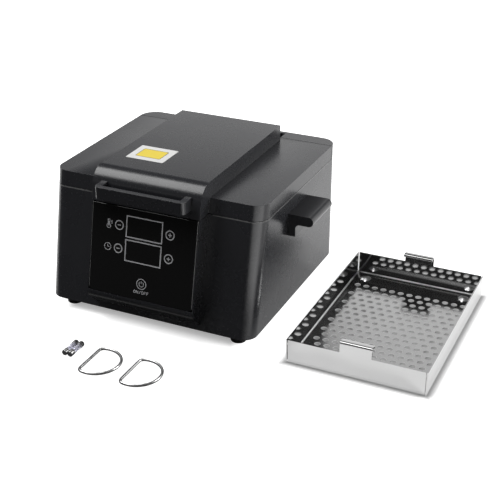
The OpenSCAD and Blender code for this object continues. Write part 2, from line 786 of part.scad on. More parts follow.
// Block in the inlet's frame, centred across, from a depth in the wall to a height above it
module inlet_block(w, from, to, z, h) block([-w / 2, from, z - h / 2], [w / 2, to, z + h / 2]);
module mains_inlet() color("#161617") on_back(inlet_x, z_inlet) difference() {
    union() {
        inlet_block(inlet_flange_w, 0, inlet_flange_t, 0, inlet_flange_h);
        inlet_block(inlet_body_w, -inlet_depth, 0, 0, inlet_body_h);
    }
    inlet_block(socket_w, inlet_flange_t - socket_depth, inlet_flange_t + 1, socket_up, socket_h);
    inlet_block(drawer_w + 2 * drawer_play, 2 - inlet_depth, inlet_flange_t + 1,
                -drawer_down, drawer_h + 2 * drawer_play);
    for (dz = [-1, 1])
        translate([0, -1, dz * inlet_screw_gap / 2]) rotate([-90, 0, 0])
            bore(inlet_screw_d, inlet_flange_t + 2);
}

module inlet_pins() color("#cfc08a") on_back(inlet_x, z_inlet)
    for (i = [-1:1])
        translate([i * inlet_pin_gap, 0, socket_up + (i == 0 ? 2 : -2)])
            block([-1, inlet_flange_t - socket_depth, -2], [1, -4, 2]);

module inlet_screws() color("#b8babd") on_back(inlet_x, z_inlet)
    for (dz = [-1, 1])
        translate([0, inlet_flange_t, dz * inlet_screw_gap / 2]) rotate([-90, 0, 0])
            screw(inlet_screw_d, inlet_flange_t + wall + 3, pan_head);

// The drawer is a tray for one fuse, with a thumb ledge along the top of its front
drawer_front_t = 0.5;
drawer_floor_t = 1;
ledge = [8, 2, 1.6];
fuse_room = 0.2;
fuse_from_end = 4.5;
module drawer_frame() on_back(inlet_x, z_inlet) translate([0, 0, -drawer_down]) children();
module fuse_drawer() color("#1d1d1f") drawer_frame() difference() {
    union() {
        inlet_block(drawer_w, 3 - inlet_depth, inlet_flange_t + drawer_front_t, 0, drawer_h);
        inlet_block(ledge[0], inlet_flange_t, inlet_flange_t + drawer_front_t + ledge[1],
                    drawer_h / 2 - ledge[2], ledge[2]);
    }
    block([-fuse_len / 2 - fuse_room, fuse_from_end - inlet_depth, -drawer_h / 2 + drawer_floor_t],
          [fuse_len / 2 + fuse_room, fuse_from_end + 2 * fuse_room + fuse_d - inlet_depth,
           drawer_h / 2 + 1]);
}

// A glass fuse along X: two caps joined by the wire, and the tube round it
fuse_cap_len = 5;
fuse_wire_d = 0.5;
fuse_glass_t = 0.6;
module fuse_caps() color("#c4c6c8") {
    for (side = [-1, 1])
        translate([side * (fuse_len / 2 - fuse_cap_len / 2), 0, 0]) rotate([0, 90, 0])
            cylinder(d = fuse_d, h = fuse_cap_len, center = true, $fn = 32);
    rotate([0, 90, 0]) cylinder(d = fuse_wire_d, h = fuse_len - fuse_cap_len, center = true, $fn = 16);
}
module fuse_tube() color("#dfe6ea") rotate([0, 90, 0]) difference() {
    cylinder(d = fuse_d - fuse_glass_t, h = fuse_len - 2 * fuse_cap_len, center = true, $fn = 32);
    cylinder(d = fuse_d - 3 * fuse_glass_t, h = fuse_len, center = true, $fn = 32);
}
module at_fitted_fuse() drawer_frame()
    translate([0, fuse_from_end + fuse_room + fuse_d / 2 - inlet_depth,
               drawer_floor_t + 0.1 + (fuse_d - drawer_h) / 2]) children();
module fitted_fuse_caps() at_fitted_fuse() fuse_caps();
module fitted_fuse_tube() at_fitted_fuse() fuse_tube();

// ---- Hinge: a bracket in the notch, a pin, and two arms on the lid ----
hinge_y = groove_y + 5.6;
hinge_z = z_top + 0.6;
bracket_t = 1.5;
pin_seat = 0.02;
bracket_w = 80;
module across(len, d, x = 0)
    translate([x - len / 2, hinge_y, hinge_z]) rotate([0, 90, 0]) cylinder(d = d, h = len);

module hinge_bracket() color("#6f7276") difference() {
    union() {
        block([-bracket_w / 2, strip_y + 0.6, z_notch],
              [bracket_w / 2, notch_back_y - 0.6, z_notch + bracket_t]);
        block([-fixed_knuckle_len / 2, hinge_y - knuckle_d / 4, z_notch],
              [fixed_knuckle_len / 2, hinge_y + knuckle_d / 4, hinge_z]);
        across(fixed_knuckle_len, knuckle_d);
    }
    across(fixed_knuckle_len + 2, pin_d + 2 * pin_seat);
    for (x = bracket_screw_x)
        translate([x, hinge_y, z_notch - 1]) bore(bracket_screw_d, bracket_t + 2);
}

module hinge_pin() color("#cfd1d3") across(pin_len, pin_d);

module bracket_screws() color("#b8babd")
    for (x = bracket_screw_x)
        translate([x, hinge_y, z_notch + bracket_t])
            screw(bracket_screw_d, bracket_t + wall + 3, small_head);

arm_len = (pin_len - fixed_knuckle_len) / 2 - hinge_gap - 1;
arm_mid = fixed_knuckle_len / 2 + hinge_gap + arm_len / 2;
arm_plate_t = 2;
arm_plate_h = ridge_rise - 2;
arm_screw_d = 3;
z_arm = z_top - 1;
z_arm_screw = z_top + ridge_rise / 2 + 1.5;
module hinge_arms() color("#6f7276")
    for (side = [-1, 1]) difference() {
        union() {
            across(arm_len, knuckle_d, side * arm_mid);
            block([side * arm_mid - arm_len / 2, ridge_back_y, hinge_z - knuckle_d * 0.35],
                  [side * arm_mid + arm_len / 2, hinge_y, hinge_z + knuckle_d * 0.1]);
            block([side * arm_mid - arm_len / 2, ridge_back_y, z_arm],
                  [side * arm_mid + arm_len / 2, ridge_back_y + arm_plate_t, z_arm + arm_plate_h]);
        }
        across(arm_len + 2, pin_d + 2 * pin_play, side * arm_mid);
        arm_bores(side);
    }
module at_arm_screws(side, y)
    for (dx = [-1, 1])
        translate([side * arm_mid + dx * arm_len / 4, y, z_arm_screw]) rotate([-90, 0, 0]) children();
module arm_bores(side)
    at_arm_screws(side, ridge_back_y - wall - 2) bore(arm_screw_d, wall + arm_plate_t + 4);

module arm_screws() color("#b8babd")
    for (side = [-1, 1])
        at_arm_screws(side, ridge_back_y + arm_plate_t)
            screw(arm_screw_d, arm_plate_t + wall + 2, pan_head);

// ---- Lid ----
// Ridge in profile, moved in by inset: front plane, roll, top, back wall
function ridge_outline(inset, z_low) =
    let (low = [console_y(z_low) + inset / cos(lean), z_low],
         z_high = z_ridge - inset,
         corner = [console_y(z_high) + inset / cos(lean), z_high],
         back = [ridge_back_y - inset, z_high])
    concat([low], rounded(low, corner, back, ridge_roll_r - inset, 16), [back, [back[0], z_low]]);

liner_h = 4;
seal_h = 3;
z_liner = z_flange + seat_play + seal_h;
liner_w = flange_outer_w - 4;
liner_l = flange_outer_l - 4;
post_screw_d = 2.5;
post_in = 7;
post_spread = 0.42;
liner_boss_d = 7;
liner_posts = [for (x = [-1, 1], y = [-1:1])
    [x * (liner_w / 2 - post_in), tub_y + y * post_spread * liner_l]];

module lid_shell() color("#26272a") difference() {
    union() {
        difference() {
            union() {
                intersection() {
                    tapered(z_seam, z_top, 0);
                    block([-body_w, -body_d, z_lid], [body_w, groove_y, z_top + 1]);
                }
                along_x(ridge_outline(0, z_lid), console_w);
            }
            intersection() {
                tapered(z_seam - 1, z_top, wall);
                block([-body_w, -body_d, z_seam - 1], [body_w, body_d, z_top - wall]);
            }
            along_x(ridge_outline(wall, z_seam - 1), console_w - 2 * wall);
        }
        for (p = liner_posts)
            translate([p[0], p[1], z_liner + tub_t])
                cylinder(d = liner_boss_d, h = z_top - wall / 2 - z_liner - tub_t);
    }
    block([-notch_w / 2, ridge_back_y, z_seam - 1], [notch_w / 2, body_d, z_ridge + 1]);
    for (p = liner_posts)
        translate([p[0], p[1], z_liner]) bore(post_screw_d, z_top - wall - z_liner);
    for (side = [-1, 1]) arm_bores(side);
    pull_bores();
}

z_pull = z_seam + pull_above_seam;
z_pull_mid = z_pull + pull_h / 2;
pull_front_y = console_y(z_pull_mid) - pull_reach;
pull_screw_d = 3;
pull_screw_x = pull_w / 2 - pull_leg_w / 2;
pull_bore_len = 20;
pull_leg_in = 6;
module pull_bores()
    for (side = [-1, 1])
        translate([side * pull_screw_x, console_y(z_pull_mid) - pull_leg_in, z_pull_mid])
            rotate([-90, 0, 0]) bore(pull_screw_d, pull_bore_len);

module pull_handle() color("#26272a") difference() {
    translate([0, pull_front_y, z_pull]) linear_extrude(pull_h) difference() {
        union() {
            translate([-pull_w / 2 + pull_corner_r, 0])
                square([pull_w - 2 * pull_corner_r, pull_reach + pull_leg_in]);
            translate([-pull_w / 2, pull_corner_r])
                square([pull_w, pull_reach + pull_leg_in - pull_corner_r]);
            for (side = [-1, 1])
                translate([side * (pull_w / 2 - pull_corner_r), pull_corner_r]) circle(pull_corner_r);
        }
        translate([-pull_w / 2 + pull_leg_w, pull_bar_t]) square([pull_w - 2 * pull_leg_w, pull_reach + 8]);
    }
    along_x(ridge_outline(0, z_lid), console_w);
    pull_bores();
}

module pull_handle_screws() color("#b8babd")
    for (side = [-1, 1])
        translate([side * pull_screw_x, console_y(z_pull_mid) + wall / cos(lean) + 0.6, z_pull_mid])
            rotate([-90, 0, 0]) screw(pull_screw_d, wall + pull_leg_in, pan_head);

module lid_liner() color("#c4c6c8") translate([0, tub_y, z_liner]) difference() {
    rounded_block(liner_w, liner_l, liner_h, tub_corner_r);
    translate([0, 0, tub_t])
        rounded_block(liner_w - 2 * tub_t, liner_l - 2 * tub_t, liner_h, tub_corner_r - tub_t);
    for (p = liner_posts) translate([p[0], p[1] - tub_y, -1]) bore(post_screw_d, tub_t + 2);
}

pad_in = [13, 3];
pad_corner_r = 4;
pad_h = z_top - wall - z_liner - tub_t - 0.4;
module liner_pad() color("#d8d2bc")
    translate([0, tub_y, z_liner + tub_t + 0.1])
        rounded_block(liner_w - 2 * pad_in[0], liner_l - 2 * pad_in[1], pad_h, pad_corner_r);

module lid_seal() color("#7a2f22") translate([0, tub_y, z_liner - seal_h]) difference() {
    rounded_block(liner_w - 0.6, liner_l - 0.6, seal_h, tub_corner_r);
    translate([0, 0, -1]) rounded_block(tub_outer_w, tub_outer_l, seal_h + 2, tub_corner_r);
}

module liner_screws() color("#b8babd")
    for (p = liner_posts)
        translate([p[0], p[1], z_liner]) rotate([180, 0, 0]) screw(post_screw_d, 6, small_head);

sticker_w = 37.3;
sticker_l = 30.8;
sticker_t = 0.2;
sticker_at = [-22, -40];
module lid_sticker() color("#f4f4f2")
    translate([sticker_at[0], sticker_at[1], z_ridge])
        rounded_block(sticker_w, sticker_l, sticker_t, 1);

// ---- Tray ----
row_len = tray_w - 2 * tray_t - 2 * side_margin;
holes_in_row = floor(row_len / hole_pitch);
rows = floor((tray_l - 2 * tray_t - 2 * row_margin) / row_pitch);
dome_h = 1.4;
module tray_floor() color("#c9cbcd") translate([tray_x, tray_y, 0]) {
    difference() {
        translate([-tray_w / 2 + tray_t, -tray_l / 2 + tray_t, 0])
            cube([tray_w - 2 * tray_t, tray_l - 2 * tray_t, tray_t]);
        for (r = [0:rows], c = [0:holes_in_row - r % 2])
            translate([(c - (holes_in_row - r % 2) / 2) * hole_pitch, (r - rows / 2) * row_pitch, -1])
                cylinder(d = hole_d, h = tray_t + 2, $fn = 16);
    }
    for (side = [-1, 1], fore = [-1, 1])
        translate([side * (tray_w / 2 - dome_from_wall), fore * (tray_l / 2 - dome_from_wall), tray_t])
            cylinder(d1 = dome_d, d2 = dome_d / 2, h = dome_h, $fn = 32);
}

module tray_walls() color("#c9cbcd") translate([tray_x, tray_y, 0]) {
    difference() {
        translate([-tray_w / 2, -tray_l / 2, 0]) cube([tray_w, tray_l, tray_h]);
        translate([-tray_w / 2 + tray_t, -tray_l / 2 + tray_t, -1])
            cube([tray_w - 2 * tray_t, tray_l - 2 * tray_t, tray_h + 2]);
    }
    for (fore = [-1, 1]) mirror([0, fore < 0 ? 1 : 0, 0]) {
        tab_block(tray_t, 0, tab_h);
        tab_block(tab_flap, tab_h - tray_t, tab_h);
        translate([0, tray_t - tab_flap, 0]) tab_block(tray_t, tab_h - tab_lip, tab_h);
    }
}

tab_lip = 2.4;
module tab_block(depth, low, high)
    block([-tab_w / 2, tray_l / 2 - depth, tray_h + low], [tab_w / 2, tray_l / 2, tray_h + high]);

// ---- Lifting rings: a round bow closed by a straight side, in round wire ----
ring_bow_r = ring_r - wire_d / 2;
ring_side = ring_flat - wire_d / 2;
ring_end_y = sqrt(pow(ring_bow_r, 2) - pow(ring_side, 2));
ring_end_angle = atan2(ring_end_y, -ring_side) + 1;
module lifting_ring() color("#cfd1d3") translate([0, 0, wire_d / 2]) {
    rotate([0, 0, -ring_end_angle]) rotate_extrude(angle = 2 * ring_end_angle)
        translate([ring_bow_r, 0]) circle(d = wire_d, $fn = 24);
    translate([-ring_side, -ring_end_y - wire_d / 3, 0]) rotate([-90, 0, 0])
        cylinder(d = wire_d, h = 2 * (ring_end_y + wire_d / 3), $fn = 24);
}
ring_1_at = [-8.7, -169.4, 0];
ring_2_at = [31.5, -170.3, 0];
module lifting_ring_1() translate(ring_1_at) lifting_ring();
module lifting_ring_2() translate(ring_2_at) lifting_ring();

fuse_pitch = 5.5;
fuse_mid = [-37.8, -162.5];
module at_spare_fuse(side)
    translate([fuse_mid[0] + side * fuse_pitch / 2, fuse_mid[1], fuse_d / 2]) rotate([0, 0, 90]) children();
module spare_fuse_1_caps() at_spare_fuse(-1) fuse_caps();
module spare_fuse_1_tube() at_spare_fuse(-1) fuse_tube();
module spare_fuse_2_caps() at_spare_fuse(1) fuse_caps();
module spare_fuse_2_tube() at_spare_fuse(1) fuse_tube();

housing();
base_plate();
base_screws();
feet();
foot_screws();
right_side_handle();
left_side_handle();
side_handle_screws();
glass_panel();
control_board();
board_spacers();
board_screws();
temperature_display();
time_display();
touch_springs();
chamber_tub();
heater_plate();
heating_element();
thermal_cutout();
temperature_probe();
wool_jacket();
heat_shield();
shield_posts();
power_board();
board_standoffs();
transformer();
relay();
capacitor();
terminal_block();
ribbon_cable();
heater_leads();
mains_leads();
mains_inlet();
inlet_pins();
inlet_screws();
fuse_drawer();
fitted_fuse_caps();
fitted_fuse_tube();
hinge_bracket();
hinge_pin();
bracket_screws();
lid_shell();
pull_handle();
pull_handle_screws();
hinge_arms();
arm_screws();
lid_liner();
liner_pad();
lid_seal();
liner_screws();
lid_sticker();
tray_floor();
tray_walls();
lifting_ring_1();
lifting_ring_2();
spare_fuse_1_caps();
spare_fuse_1_tube();
spare_fuse_2_caps();
spare_fuse_2_tube();
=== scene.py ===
"""Looks for the bench-top dry-heat box oven, its tray, lifting rings and spare fuses."""

import json
import math

import bmesh
import bpy
from mathutils import Matrix, Vector
from mathutils.geometry import tessellate_polygon


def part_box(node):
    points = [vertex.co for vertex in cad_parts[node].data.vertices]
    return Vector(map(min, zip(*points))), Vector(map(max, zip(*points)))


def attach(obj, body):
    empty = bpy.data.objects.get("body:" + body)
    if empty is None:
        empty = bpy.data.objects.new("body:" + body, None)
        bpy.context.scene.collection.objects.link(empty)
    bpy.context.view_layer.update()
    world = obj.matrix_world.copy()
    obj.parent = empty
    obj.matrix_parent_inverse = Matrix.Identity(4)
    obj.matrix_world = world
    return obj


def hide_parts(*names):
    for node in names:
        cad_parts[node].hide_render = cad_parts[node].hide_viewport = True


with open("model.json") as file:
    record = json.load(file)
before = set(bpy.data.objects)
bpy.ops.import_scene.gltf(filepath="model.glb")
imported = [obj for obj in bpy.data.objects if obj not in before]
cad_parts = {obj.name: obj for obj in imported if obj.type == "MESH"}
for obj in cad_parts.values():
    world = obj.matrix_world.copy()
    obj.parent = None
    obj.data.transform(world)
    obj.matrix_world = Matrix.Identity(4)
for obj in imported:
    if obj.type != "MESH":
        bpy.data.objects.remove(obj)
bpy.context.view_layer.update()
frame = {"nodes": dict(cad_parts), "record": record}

MM = 0.001
TAU = 2 * math.pi

# ---- Camera ----
IMAGE = 500
CAMERA_AT = Vector((433.27, -821.93, 498.4)) * MM
CAMERA_YAW = -0.4305
CAMERA_DOWN = 0.4666
FOCAL_PIXELS = 1079.4
SENSOR = 36

camera = bpy.data.objects.new("camera", bpy.data.cameras.new("camera"))
bpy.context.scene.collection.objects.link(camera)
bpy.context.scene.camera = camera
bpy.context.scene.view_settings.view_transform = "Standard"
camera.data.sensor_width = SENSOR
camera.data.lens = FOCAL_PIXELS / IMAGE * SENSOR
camera.location = CAMERA_AT
look = Vector((math.sin(CAMERA_YAW) * math.cos(CAMERA_DOWN),
               math.cos(CAMERA_YAW) * math.cos(CAMERA_DOWN), -math.sin(CAMERA_DOWN)))
camera.rotation_mode = "QUATERNION"
camera.rotation_quaternion = look.to_track_quat("-Z", "Y")


# ---- Shader nodes ----
class Value:
    """The output of a node. Arithmetic on it adds Math nodes."""

    def __init__(self, finish, socket):
        self.finish, self.socket = finish, socket

    def math(self, operation, *values):
        return self.finish.node("ShaderNodeMath", {"operation": operation}, dict(enumerate(values)))

    def __add__(self, other):
        return self.math("ADD", self, other)

    def __sub__(self, other):
        return self.math("SUBTRACT", self, other)

    def __rsub__(self, other):
        return self.math("SUBTRACT", other, self)

    def __mul__(self, other):
        return self.math("MULTIPLY", self, other)

    def power(self, other):
        return self.math("POWER", self, other)

    def largest(self, other):
        return self.math("MAXIMUM", self, other)

    def size(self):
        return self.math("ABSOLUTE", self)

    def steps(self, low, high):
        """0 below low, 1 above high, smooth between."""
        return self.finish.node("ShaderNodeMapRange", {"interpolation_type": "SMOOTHSTEP"},
                                {"Value": self, "From Min": low, "From Max": high})

    __radd__, __rmul__ = __add__, __mul__


class Finish:
    """A node tree: of a material, or of the world."""

    def __init__(self, owner):
        self.owner = owner
        owner.use_nodes = True
        self.tree = owner.node_tree
        self.tree.nodes.clear()

    def node(self, kind, settings=None, sockets=None, out=0):
        """Adds a node: first its settings, then the values or links of its sockets."""
        added = self.tree.nodes.new(kind)
        for name, value in (settings or {}).items():
            setattr(added, name, value)
        for name, value in (sockets or {}).items():
            if isinstance(value, Value):
                self.tree.links.new(value.socket, added.inputs[name])
            else:
                added.inputs[name].default_value = value
        return Value(self, added.outputs[out])

    def place(self):
        """The point of the piece, in metres."""
        return self.node("ShaderNodeTexCoord", out="Object")

    def axis(self, index):
        """One coordinate of the point: 0 across, 1 along, 2 up."""
        return self.node("ShaderNodeSeparateXYZ", None, {0: self.place()}, index)

    def stretched(self, x, y, z):
        return self.node("ShaderNodeMapping", None, {"Vector": self.place(), "Scale": (x, y, z)})

    def noise(self, scale, detail=2.0, rough=0.5, vector=None):
        """Cloudy values from 0 to 1: a larger scale gives finer ones."""
        return self.node("ShaderNodeTexNoise", None, {
            "Vector": vector or self.place(), "Scale": scale, "Detail": detail, "Roughness": rough})

    def mixed(self, factor, first, second):
        """Colour between first and second."""
        return self.node("ShaderNodeMix", {"data_type": "RGBA"}, {0: factor, 6: first, 7: second}, 2)

    def bump(self, height, distance):
        return self.node("ShaderNodeBump", None, {
            "Height": height, "Distance": distance, "Strength": 1.0})

    def surface(self, **sockets):
        """Principled surface, linked to the material's output."""
        self.output(self.node("ShaderNodeBsdfPrincipled", None, {
            name.replace("_", " "): value for name, value in sockets.items()}))

    def output(self, shader, kind="ShaderNodeOutputMaterial"):
        end = self.tree.nodes.new(kind)
        self.tree.links.new(shader.socket, end.inputs["Surface"])


def grey(value):
    return (value, value, value, 1)


def scaled(colour, amount):
    return tuple(channel * amount for channel in colour[:3]) + (1,)


def new_finish(name):
    return Finish(bpy.data.materials.new(name))


# ---- Finishes ----
COOL_BLACK = (0.95, 0.98, 1.14)
SEAM_GAP = 0.5 * MM
# width of the painted highlight along the housing's top edge, under the lid's seam
RIM_HIGHLIGHT_BAND = 1 * MM
CONSOLE_MARGIN = 4 * MM
LEAST_FADE = 1 * MM


def painted_rim_highlight(f):
    """1 on the outer top edge of the housing beside the console, under the seam where the lid closes: the
    band of a painted highlight.
    """
    lid_low, lid_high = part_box("lid_shell")
    seam = lid_low.z - SEAM_GAP
    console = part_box("glass_panel")[1].x + CONSOLE_MARGIN
    across, along, up = (f.axis(i) for i in range(3))
    edge = up.steps(seam - RIM_HIGHLIGHT_BAND, seam - RIM_HIGHLIGHT_BAND * 0.8) * (1 - up.steps(seam, seam + SEAM_GAP))
    under_lid = 1 - along.steps(lid_high.y - LEAST_FADE, lid_high.y)
    return edge * under_lid * across.size().steps(console, console + 2 * LEAST_FADE)


def moulded(name, shade, roughness, grain=5e-6, rim=0.0):
    """Moulded black plastic with a fine spark-eroded grain and faint clouds in its gloss."""
    f = new_finish(name)
    clouds = f.noise(22, 3, 0.6)
    body = f.mixed(clouds, scaled(COOL_BLACK, shade * 0.85), scaled(COOL_BLACK, shade * 1.15))
    fine = f.noise(1800, 1, 0.5)
    speck = f.noise(420, 2, 0.6).steps(0.60, 0.78)
    f.surface(
        # rim: the grey of a painted highlight along the housing's top edge
        Base_Color=f.mixed(painted_rim_highlight(f), body, grey(rim)) if rim else body,
        Roughness=roughness + (clouds - 0.5) * 0.10 + speck * 0.05,
        Normal=f.bump(fine, grain))
    return f.owner


def steel(name, shade, roughness, brush=(40, 1400, 40), scratch=3e-7):
    """Rolled sheet: faint lines along one axis, with patches of more and less gloss."""
    f = new_finish(name)
    lines = f.noise(1, 4, 0.65, f.stretched(*brush))
    patches = f.noise(18, 2)
    f.surface(
        Base_Color=f.mixed(patches, grey(shade * 0.94), grey(shade * 1.05)), Metallic=1.0,
        Roughness=roughness * (0.75 + 0.5 * patches) + lines * roughness * 0.2,
        Normal=f.bump(lines, scratch))
    return f.owner


def plain(name, colour, roughness, grain=4e-6, metallic=0.0):
    """A plain finish with fine grain and a little unevenness."""
    f = new_finish(name)
    clouds = f.noise(45, 3, 0.6)
    f.surface(Base_Color=f.mixed(clouds, scaled(colour, 0.88), scaled(colour, 1.12)), Metallic=metallic,
              Roughness=roughness + (clouds - 0.5) * 0.12,
              Normal=f.bump(f.noise(900, 2, 0.6), grain))
    return f.owner


# width of the painted highlight along the glass's side edges
EDGE_HIGHLIGHT_BAND = 0.8 * MM


def panel_black(half_width):
    """Black printed glass: deep black under a hard gloss, with a faint smear and a pale, rougher band
    along both side edges, a painted highlight.
    """
    f = new_finish("panel_black")
    smear = f.noise(30, 4, 0.7, f.stretched(1, 0.4, 2.2)).steps(0.45, 0.75)
    # a pale, rougher band along both side edges: a painted highlight
    edge = f.axis(0).size().steps(half_width - EDGE_HIGHLIGHT_BAND * 1.1, half_width - EDGE_HIGHLIGHT_BAND * 0.8)
    f.surface(Base_Color=f.mixed(edge, grey(0.0035), grey(0.2)),
              Roughness=0.055 + smear * 0.05 + edge * 0.3)
    return f.owner


def fibre_wool():
    """Matted strands, pale over dark."""
    f = new_finish("mineral_wool")
    strands = f.noise(260, 5, 0.75, f.stretched(1, 3.5, 1))
    f.surface(Base_Color=f.mixed(strands, (0.34, 0.30, 0.20, 1), (0.78, 0.73, 0.58, 1)),
              Roughness=0.95, Normal=f.bump(strands, 6e-4))
    return f.owner


def clear_glass():
    """Fuse glass with a milky, slightly blue body."""
    f = new_finish("fuse_glass")
    f.surface(Base_Color=(0.80, 0.80, 0.88, 1), Roughness=0.03 + f.noise(90) * 0.03,
              Transmission_Weight=0.65, IOR=1.5)
    return f.owner


def coloured_ink(name, colour, roughness):
    """Printed colour with a fine dot."""
    f = new_finish(name)
    dots = f.noise(1500, 1)
    f.surface(Base_Color=f.mixed(dots, colour, scaled(colour, 0.9)),
              Roughness=roughness + dots * 0.05)
    return f.owner


FINISH = {
    # the housing's top edge under the lid's seam gets a painted highlight in grey 0.14
    "black_plastic": moulded("satin_black_plastic", 0.021, 0.27, rim=0.14),
    "handle_plastic": moulded("handle_black_plastic", 0.016, 0.30),
    "panel_glass": panel_black(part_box("glass_panel")[1].x),
    "zinc_plate": steel("zinc_plate", 0.50, 0.38),
    "screws": steel("screw_zinc", 0.58, 0.26),
    "rubber": plain("foot_rubber", (0.012, 0.012, 0.012), 0.62, 1.2e-5),
    "board": plain("board_green", (0.012, 0.085, 0.035), 0.32),
    "brass_parts": plain("brass_contacts", (0.76, 0.56, 0.24), 0.26, 2e-6, 1.0),
    "display": plain("display_block", (0.030, 0.008, 0.006), 0.30),
    "stainless": steel("bright_stainless", 0.62, 0.17, (900, 30, 30)),
    "aluminium_plate": steel("cast_aluminium", 0.66, 0.42),
    "element_sheath": plain("element_sheath", (0.22, 0.20, 0.17), 0.44, 8e-6, 1.0),
    "black_parts": moulded("inlet_black_plastic", 0.014, 0.42, 9e-6),
    "wool": fibre_wool(),
    "transformer": plain("transformer_varnish", (0.060, 0.035, 0.018), 0.36),
    "relay": plain("relay_blue", (0.025, 0.060, 0.24), 0.24),
    "capacitor": plain("capacitor_yellow", (0.55, 0.33, 0.05), 0.28),
    "terminal_green": plain("terminal_green", (0.025, 0.17, 0.065), 0.42),
    "ribbon": plain("ribbon_grey", (0.26, 0.27, 0.28), 0.46),
    "lead_red": plain("lead_red", (0.45, 0.035, 0.025), 0.46),
    "lead_brown": plain("lead_brown", (0.16, 0.065, 0.03), 0.44),
    "hinge_steel": steel("hinge_steel", 0.34, 0.34),
    "silicone": plain("silicone_seal", (0.20, 0.022, 0.014), 0.50, 1e-5),
    "sticker": coloured_ink("sticker_white", (0.72, 0.72, 0.71, 1), 0.42),
    "ring_wire": steel("bright_wire", 0.68, 0.28, (300, 300, 300), 2e-7),
    "fuse_metal": steel("nickel_cap", 0.46, 0.34, (600, 600, 600)),
    "fuse_glass": clear_glass(),
}
INK = coloured_ink("panel_ink", (0.60, 0.60, 0.62, 1), 0.40)
DARK_INK = coloured_ink("sticker_black", (0.03, 0.03, 0.03, 1), 0.42)
YELLOW = coloured_ink("sticker_yellow", (0.80, 0.62, 0.05, 1), 0.42)


# ---- Making pieces ----
def smoothed(mesh, crease):
    """Smooth shading but for edges sharper than crease degrees."""
    mesh.shade_smooth()
    mesh.set_sharp_from_angle(angle=math.radians(crease))
    return mesh


def add_piece(name, mesh, slot, body, stands_for=(), finish=None):
    """A mesh as a piece of the object, riding on its body."""
    mesh.materials.clear()
    mesh.materials.append(finish or FINISH[slot])
    piece = bpy.data.objects.new(name, mesh)
    bpy.context.scene.collection.objects.link(piece)
    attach(piece, body)
    if stands_for:
        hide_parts(*stands_for)


def finished(bm, name, crease=32):
    """The bmesh as a shaded mesh with outward faces and no doubled points."""
    bmesh.ops.remove_doubles(bm, verts=bm.verts, dist=1e-7)
    bmesh.ops.recalc_face_normals(bm, faces=bm.faces)
    mesh = bpy.data.meshes.new(name)
    bm.to_mesh(mesh)
    bm.free()
    return smoothed(mesh, crease)


def with_modifier(mesh, kind, settings):
    """The mesh after a modifier of this kind with its settings."""
    carrier = bpy.data.objects.new(mesh.name, mesh)
    bpy.context.scene.collection.objects.link(carrier)
    modifier = carrier.modifiers.new(kind.lower(), kind)
    for name, value in settings.items():
        setattr(modifier, name, value)
    evaluated = carrier.evaluated_get(bpy.context.evaluated_depsgraph_get())
    result = bpy.data.meshes.new_from_object(evaluated)
    bpy.data.objects.remove(carrier)
    return result


def slot_of(node):
    """The material slot that the record gives a node."""
    return next(s["material_slot"] for s in frame["record"]["subparts"] if s["node"] == node)


def body_of(node):
    """The moving body that a node belongs to."""
    bodies = frame["record"]["behaviour"]["bodies"]
    return next(body for body, nodes in bodies.items() if node in nodes)


# degrees: neighbours flatter than the first are one face, edges sharper than the second are rounded
FLAT_WITHIN, SHARP_FROM = 0.4, 34


def softened(node, edge, segments):
    """A CAD node with its sharp edges rounded by edge millimetres."""
    bm = bmesh.new()
    bm.from_mesh(frame["nodes"][node].data)
    bmesh.ops.remove_doubles(bm, verts=bm.verts, dist=2e-6)
    bmesh.ops.dissolve_limit(bm, angle_limit=math.radians(FLAT_WITHIN), verts=bm.verts, edges=bm.edges)
    mesh = with_modifier(finished(bm, node, SHARP_FROM), "BEVEL", {
        "width": edge * MM, "segments": segments, "limit_method": "ANGLE",
        "angle_limit": math.radians(SHARP_FROM), "use_clamp_overlap": True, "harden_normals": True})
    add_piece(node + "_moulding", mesh, slot_of(node), body_of(node), [node])


def turned(profile, steps, matrix, bm=None):
    """A round piece at matrix: profile is (radius, height) pairs in millimetres, turned about Z."""
    bm = bm or bmesh.new()
    rings = []
    for radius, height in profile:
        if radius < 1e-6:
            rings.append([bm.verts.new((0, 0, height * MM))])
        else:
            rings.append([bm.verts.new((radius * MM * math.cos(TAU * i / steps),
                                        radius * MM * math.sin(TAU * i / steps), height * MM))
                          for i in range(steps)])
    for low, high in zip(rings, rings[1:]):
        for i in range(steps):
            j = (i + 1) % steps
            corners = [low[i % len(low)], low[j % len(low)], high[j % len(high)], high[i % len(high)]]
            bm.faces.new(list(dict.fromkeys(corners)))
    bmesh.ops.transform(bm, matrix=matrix, verts=[v for ring in rings for v in ring])
    return bm


def skin(bm, rings):
    """Faces between neighbouring closed rings with equal numbers of points."""
    for low, high in zip(rings, rings[1:]):
        for i in range(len(low)):
            j = (i + 1) % len(low)
            bm.faces.new((low[i], low[j], high[j], high[i]))


def arc(centre, radius, start, end, steps):
    """Points of an arc about centre, in degrees."""
    turns = [math.radians(start + (end - start) * i / steps) for i in range(steps + 1)]
    return [(centre[0] + radius * math.cos(a), centre[1] + radius * math.sin(a)) for a in turns]


def circle(x, y, r, steps=36):
    return arc((x, y), r, 0, 360 * (1 - 1 / steps), steps - 1)


def round_corners(x0, y0, x1, y1, r, steps=8):
    """Outline of a rectangle with round corners."""
    corners = [((x1 - r, y1 - r), 0), ((x0 + r, y1 - r), 90),
               ((x0 + r, y0 + r), 180), ((x1 - r, y0 + r), 270)]
    return [p for centre, start in corners for p in arc(centre, r, start, start + 90, steps)]


WIRE_SIDES = 18


def wire_loop(points, radius):
    """A closed round wire along level points, in millimetres."""
    turns = [TAU * k / WIRE_SIDES for k in range(WIRE_SIDES)]
    rings = []
    bm = bmesh.new()
    for i, p in enumerate(points):
        along = (points[(i + 1) % len(points)] - points[i - 1]).normalized()
        side = along.cross(Vector((0, 0, 1))).normalized()
        up = side.cross(along)
        rings.append([bm.verts.new((p + radius * (math.cos(a) * side + math.sin(a) * up)) * MM)
                      for a in turns])
    skin(bm, rings + rings[:1])
    return bm


